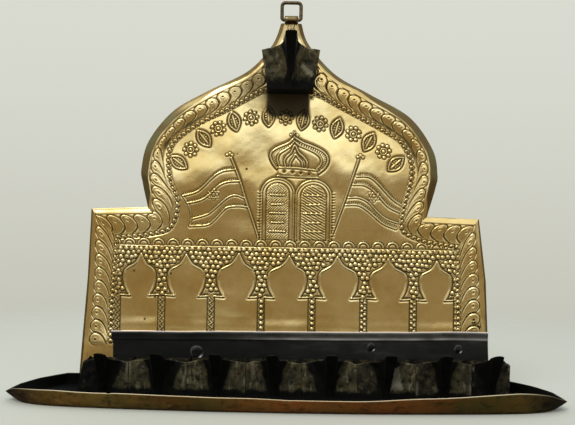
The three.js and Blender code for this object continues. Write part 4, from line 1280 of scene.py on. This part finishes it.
def trayPiece():
    # outside levels run from floor edge to rim with a slight belly, then over a rounded rim and down inside
    rim = trayRing(tray["half"], tray["depth"], tray["rimBack"], tray["rimFront"], tray["height"])
    foot = trayRing(tray["floorHalf"], tray["floorDepth"], tray["floorBack"], tray["floorFront"], 0.0)
    front = ease(30, 52, rim[:, 1])
    bends = throughPoints(tray["bends"], 120)  # the front wall stands higher where it was bent up by hand
    rim[:, 2] += np.interp(rim[:, 0], bends[:, 0], bends[:, 1]) * ease(26, 44, rim[:, 1])
    rim[:, 2] += 0.22 * waves(rim[:, 0], rim[:, 1], 34, 6, 12) * (0.3 + 0.7 * front)
    rim[:, 2] -= 0.35 * bell(rim[:, 0] - tray["nick"], 0.35) * front
    shares, outside = np.r_[0, 0.04, np.linspace(0.12, 0.9, 9), 0.96, 1], []
    for share in shares:
        ring = foot + (rim - foot) * share
        belly = 0.3 * math.sin(math.pi * share)
        outside.append(inwards(ring, -belly, 3) if 0 < share < 1 else ring)
    outside = np.stack(outside)
    x, z = outside[..., 0], outside[..., 2]
    dent = 0.20 * waves(x, z * 4, 13, 9, 4) + 0.12 * waves(x, z * 3, 5, 9, 6)
    outside[..., 1] += dent * front * np.sin(math.pi * shares)[:, None]
    inner = [inwards(ring, tray["sheet"], 3) for ring in outside[::-1][:-1]]
    top = (outside[-1] + inner[0]) / 2 + (0, 0, 0.25)
    base = inwards(foot, tray["sheet"], 3)
    base[:, 2] = tray["sheet"]
    inner = [ring for ring in inner if ring[:, 2].max() > tray["sheet"] + 0.4]
    for ring in inner:
        ring[:, 2] = np.maximum(ring[:, 2], tray["sheet"])
    rings = np.concatenate([outside, [top], inner, [base]])
    shell("drip_tray_sheet", rings, "aged_brass", "drip_tray", trayMarks(rings, len(outside)), 50)


trayPiece()

print("strip, rivets and link")
strip = {
    "foot": 7.4, "tops": (30.05, 32.65), "hem": 5.0,
    "under": [(1.0, 0), (1.8, 0), (1.8, 0.25), (1.8, 0.5), (1.8, 0.75), (1.8, 0.97), (1.84, 1.0)],
    "over": [
        (1.98, -4.75, 0.2, 0, 0), (2.04, -4.4, 0.2, 0.8, 0), (2.03, -3.9, 0, 1, 0), (2.04, -3.3, 0, 0.3, 0),
        (2.16, -2.4, 0, 0, 0), (2.34, -1.5, 0, 0, 0), (2.36, -0.7, 0, 0, 0.05), (2.2, -0.2, 0, 0, 0.75),
        (1.8, 0.0, 0, 0, 1), (1.4, -0.1, 0, 0, 1), (1.1, -0.4, 0, 0, 0.5), (1.0, -1.0, 0, 0, 0),
        (1.0, -5.0, 0, 0, 0),
    ],
}


def stripPiece():
    # one profile, up the front, over the hem that is folded forward, and down the back, is carried along
    # the strip; its top edge follows a line between the two ends, with slow waves. Below the hem a row is its
    # distance out and share up to the hem; above, its distance out and up from the top edge, how far it
    # stands off towards the right, and how much painted highlight it takes along the fold and along the top
    # edge
    low, high = boxOf("back_strip")
    x = np.linspace(low[0], high[0], 420)
    slow = 0.20 * waves(x, 0 * x, 40, 6, 2) + 0.05 * waves(x, 0 * x, 9, 6, 7)
    foot, top = strip["foot"], np.interp(x, [low[0], high[0]], strip["tops"]) + slow
    fold = top - strip["hem"] + 0.12 * waves(x, 0 * x, 22, 5, 19)
    # painted highlight along the hem's fold, stronger towards the right
    stripe = 0.16 * ease(-35, 5, x) * (1 + 0.6 * waves(x, 0 * x, 13, 8, 5))
    rows = [(out, foot + (fold - foot) * share, 0, 0, 0) for out, share in strip["under"]]
    rows += [(out, top + up, *more) for out, up, *more in strip["over"]]
    rings, edge = [], []
    for out, z, off, foldHighlight, topHighlight in rows:
        swell = 0.14 * waves(x, z, 26, 7, 15) * (out > 1.5) * ease(0, 4, z - foot) + off * ease(-50, 20, x)
        rings.append(np.stack([x, out + np.clip(swell, -0.15, 0.28), z], -1))
        edge.append(topHighlight + foldHighlight * stripe)
    rings, edge = np.stack(rings, 1), np.stack(edge, 1)
    rightwards, onHem = ease(-70, 50, x)[:, None], ease(-0.2, 0.8, rings[..., 2] - fold[:, None])
    soot = 1 - 0.12 * onHem - 0.22 * rightwards - 0.55 * onHem * rightwards
    shell("back_strip_sheet", rings, "dark_tin", "back_strip", {"edge": edge, "soot": soot}, 40)


stripPiece()

rivets = {  # the head's height, the shank's radius, the finish and how rough the hammer left it, which also scales the painted glint
    "strip": (1.1, 1.5, "dull_iron", 1.0), "tray": (0.8, 1.0, "aged_brass", 0.3),
    "servant": (0.8, 1.1, "dull_iron", 0.3),
}


def rivetPiece(node, seed):
    # a profile from the crown of the head out to its rim, back under it and down the shank is turned round,
    # its reach and lift shaken by slow waves as a hammer leaves them; the edge mark paints a glint at the
    # head's lower right and a pale ring round its upper side
    head, shank, slot, rough = rivets[node.split("_")[0]]
    low, high = boxOf(node)
    x, _, z = (low + high) / 2
    face, radius = lampBack - low[1] - head, (high[0] - low[0]) / 2
    turn = np.linspace(0, math.tau, 49)[None, :-1]
    share = np.r_[0.02, np.linspace(0.12, 1, 14)][:, None]
    bumps = waves(share * np.cos(turn) * radius + seed, share * np.sin(turn) * radius, radius * 1.1, 8, seed)
    spread = radius * share * (1 - 0.04 * rough * (1 + np.sin(turn * 3 + seed)) * share)
    rise = 0.45 * np.clip(1 - share**6, 0, 1) ** 0.5 + 0.55 * np.clip(1 - (share / 0.66) ** 2, 0, 1) ** 0.5
    out = face + head * rise * (1 - 0.3 * rough + 0.3 * rough * bumps)
    spread = np.concatenate([spread, np.full((2, 48), shank)])
    out = np.concatenate([out, np.full((1, 48), face), np.zeros((1, 48))])
    rings = np.stack([x + spread * np.cos(turn), out, z + spread * np.sin(turn)], -1)
    # painted highlight: a glint at the lower right and a lit ring round the upper side
    aside, up = (rings[..., 0] - x) / radius - 0.5, (rings[..., 2] - z) / radius + 0.62
    glint = bell(np.hypot((aside + up) * 0.5, aside - up * 0.9), 0.2)
    shares = np.concatenate([share, np.ones((2, 1))])
    ring = 0.10 * bell(shares - 0.8, 0.08) * ease(-0.3, 0.6, np.sin(turn - 0.5))
    shell(node + "_head", rings, slot, node, {"edge": rough * np.maximum(glint, ring)}, 60)


for k, node in enumerate(sorted(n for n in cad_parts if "rivet" in n)):
    rivetPiece(node, k + 2)

link = {
    "half": 5.1, "height": 9.2, "foot": 1.2, "top": 1.9, "wire": 1.0, "out": 2.3,
    "along": 160, "around": 20,  # how many places the mesh has each way
}


def linkPiece():
    # round wire carried round a rectangle with rounded corners, whose foot is at the tongue's pivot
    corners = [(1, 0, "foot", -90), (1, 1, "top", 0), (-1, 1, "top", 90), (-1, 0, "foot", 180)]
    path, count = [], link["along"]
    for side, up, bend, start in corners:
        turn, radius = np.radians(start + np.linspace(0, 90, 15)), link[bend]
        cx = plate["neck"] + side * (link["half"] - radius)
        cz = tongue["pivot"] + (link["height"] - radius if up else radius)
        path.append(np.stack([cx + radius * np.cos(turn), cz + radius * np.sin(turn)], -1))
    path = np.concatenate([*path, path[0][:1]])
    path = evenly(path, count + 1)[:-1]
    way = np.roll(path, -1, 0) - np.roll(path, 1, 0)
    way /= np.linalg.norm(way, axis=1)[:, None]
    turn, step = np.linspace(0, math.tau, link["around"] + 1)[:-1], np.arange(count)
    wire = link["wire"] * (1 - 0.02 * (1 + waves(step * 0.3, 0 * step, 6, 5, 3)))[:, None]
    across = wire * np.cos(turn)
    x, z = path[:, :1] + way[:, 1:] * across, path[:, 1:] - way[:, :1] * across
    places = spots(x, link["out"] + wire * np.sin(turn), z)
    faces = facingOut(places, [gridFaces(count, link["around"], True, True)])
    newPiece("link_wire", places, faces, "worn_brass", body="hanging_link", replaced=["hanging_link"])


linkPiece()

# Floor, light and camera

print("studio")
studio = {
    "cameraBack": 486.0, "cameraHeight": 95.6, "lens": 56.35, "roll": -1.0, "shiftX": 0.0009,
    "shiftY": -0.0009, "top": (0.70, 0.705, 0.63), "bottom": (0.53, 0.53, 0.46), "room": (1.70, 1.86, 2.00),
    "sides": (0.93, 0.95, 0.94), "warm": (0.36, 0.29, 0.18), "floor": (0.42, 0.42, 0.365),
    "floorMiddle": (0, 0.12, 0), "floorRings": (0.04, 0.12, 0.24, 0.36, 0.48), "fade": (0.16, 0.44),
    "floorDrop": 0.0003,
}


def makeWorld():
    # the camera sees a pale backdrop, and all else a room that is bright at the top middle, dimmer at the
    # sides, and warm and dark low in front
    make = Finish("world", world=True)
    way = make.node("ShaderNodeTexCoord", out="Generated")
    x, y, z = (make.node("ShaderNodeSeparateXYZ", {}, {0: way}, k) for k in range(3))
    backdrop = make.blend(make.part(z, -0.24, 0.24), studio["bottom"], studio["top"])
    low = (1 - make.part(z, 0.0, 0.11)) * (1 - make.part(y, -0.55, 0.1))
    aside = make.part(make.maths("ABSOLUTE", x, 0.0), 0.06, 0.45)
    room = make.blend(low, make.blend(aside, studio["room"], studio["sides"]), studio["warm"])
    seen = make.node("ShaderNodeLightPath", out="Is Camera Ray")
    colour = make.blend(seen, room, backdrop)
    light = make.node("ShaderNodeBackground", {}, {"Color": colour, "Strength": 1.0})
    make.node("ShaderNodeOutputWorld", {}, {"Surface": light})
    bpy.context.scene.world = make.block


def makeFloor():
    # a disc that fades out towards its rim, so that no edge of it shows
    count, radius = 96, np.array(studio["floorRings"])[:, None]
    turn, step = np.linspace(0, math.tau, count + 1)[:-1], np.arange(count)
    x, y = radius * np.cos(turn), radius * np.sin(turn)
    places = np.concatenate([[(0, 0, 0)], np.stack([x, y, 0 * x], -1).reshape(-1, 3)])
    fan = np.stack([0 * step, 1 + step, 1 + (step + 1) % count], -1)
    bands = gridFaces(len(radius), count, roundColumns=True, first=1)[:, ::-1]
    mesh = bpy.data.meshes.new("floor")
    mesh.from_pydata((places + studio["floorMiddle"]).tolist(), [], [*fan.tolist(), *bands.tolist()])
    make = Finish("floor")
    coat = make.node("ShaderNodeBsdfDiffuse", {}, {"Color": (*studio["floor"], 1)})
    clear = make.node("ShaderNodeBsdfTransparent")
    ends = {0: make.place(), 1: studio["floorMiddle"]}
    offset = make.node("ShaderNodeVectorMath", {"operation": "SUBTRACT"}, ends)
    far = make.node("ShaderNodeVectorMath", {"operation": "LENGTH"}, {0: offset}, "Value")
    shader = make.node("ShaderNodeMixShader", {}, {0: make.part(far, *studio["fade"]), 1: coat, 2: clear})
    make.node("ShaderNodeOutputMaterial", {}, {"Surface": shader})
    mesh.materials.append(make.block)
    floor = bpy.data.objects.new("floor", mesh)
    bpy.context.scene.collection.objects.link(floor)
    floor.location.z = -studio["floorDrop"]


def makeLamp(name, place, aim, size, watts, colour):
    light = bpy.data.lights.new(name, "AREA")
    light.shape, light.size, light.energy, light.color = "DISK", size, watts, colour
    thing = bpy.data.objects.new(name, light)
    bpy.context.scene.collection.objects.link(thing)
    thing.location = place
    x, y, z = np.array(aim) - np.array(place)
    thing.rotation_euler = (math.atan2(math.hypot(x, y), -z), 0, math.atan2(y, x) - math.pi / 2)


makeWorld()
makeFloor()
makeLamp("soft_key", (-0.45, -0.75, 1.15), (0, 0, 0.1), 0.7, 9, (1.0, 0.98, 0.94))

camera = bpy.data.objects.new("camera", bpy.data.cameras.new("camera"))
bpy.context.scene.collection.objects.link(camera)
camera.data.sensor_width = 36
camera.data.lens = studio["lens"]
camera.data.shift_x, camera.data.shift_y = studio["shiftX"], studio["shiftY"]
camera.data.clip_start, camera.data.clip_end = 0.01, 20
cameraOut = plate["sheet"] + studio["cameraBack"]
camera.location = (0, (lampBack - cameraOut) * 0.001, studio["cameraHeight"] * 0.001)
camera.rotation_euler = (math.radians(90), math.radians(studio["roll"]), 0)
bpy.context.scene.camera = camera
bpy.context.scene.view_settings.view_transform = "Standard"

print("finished")
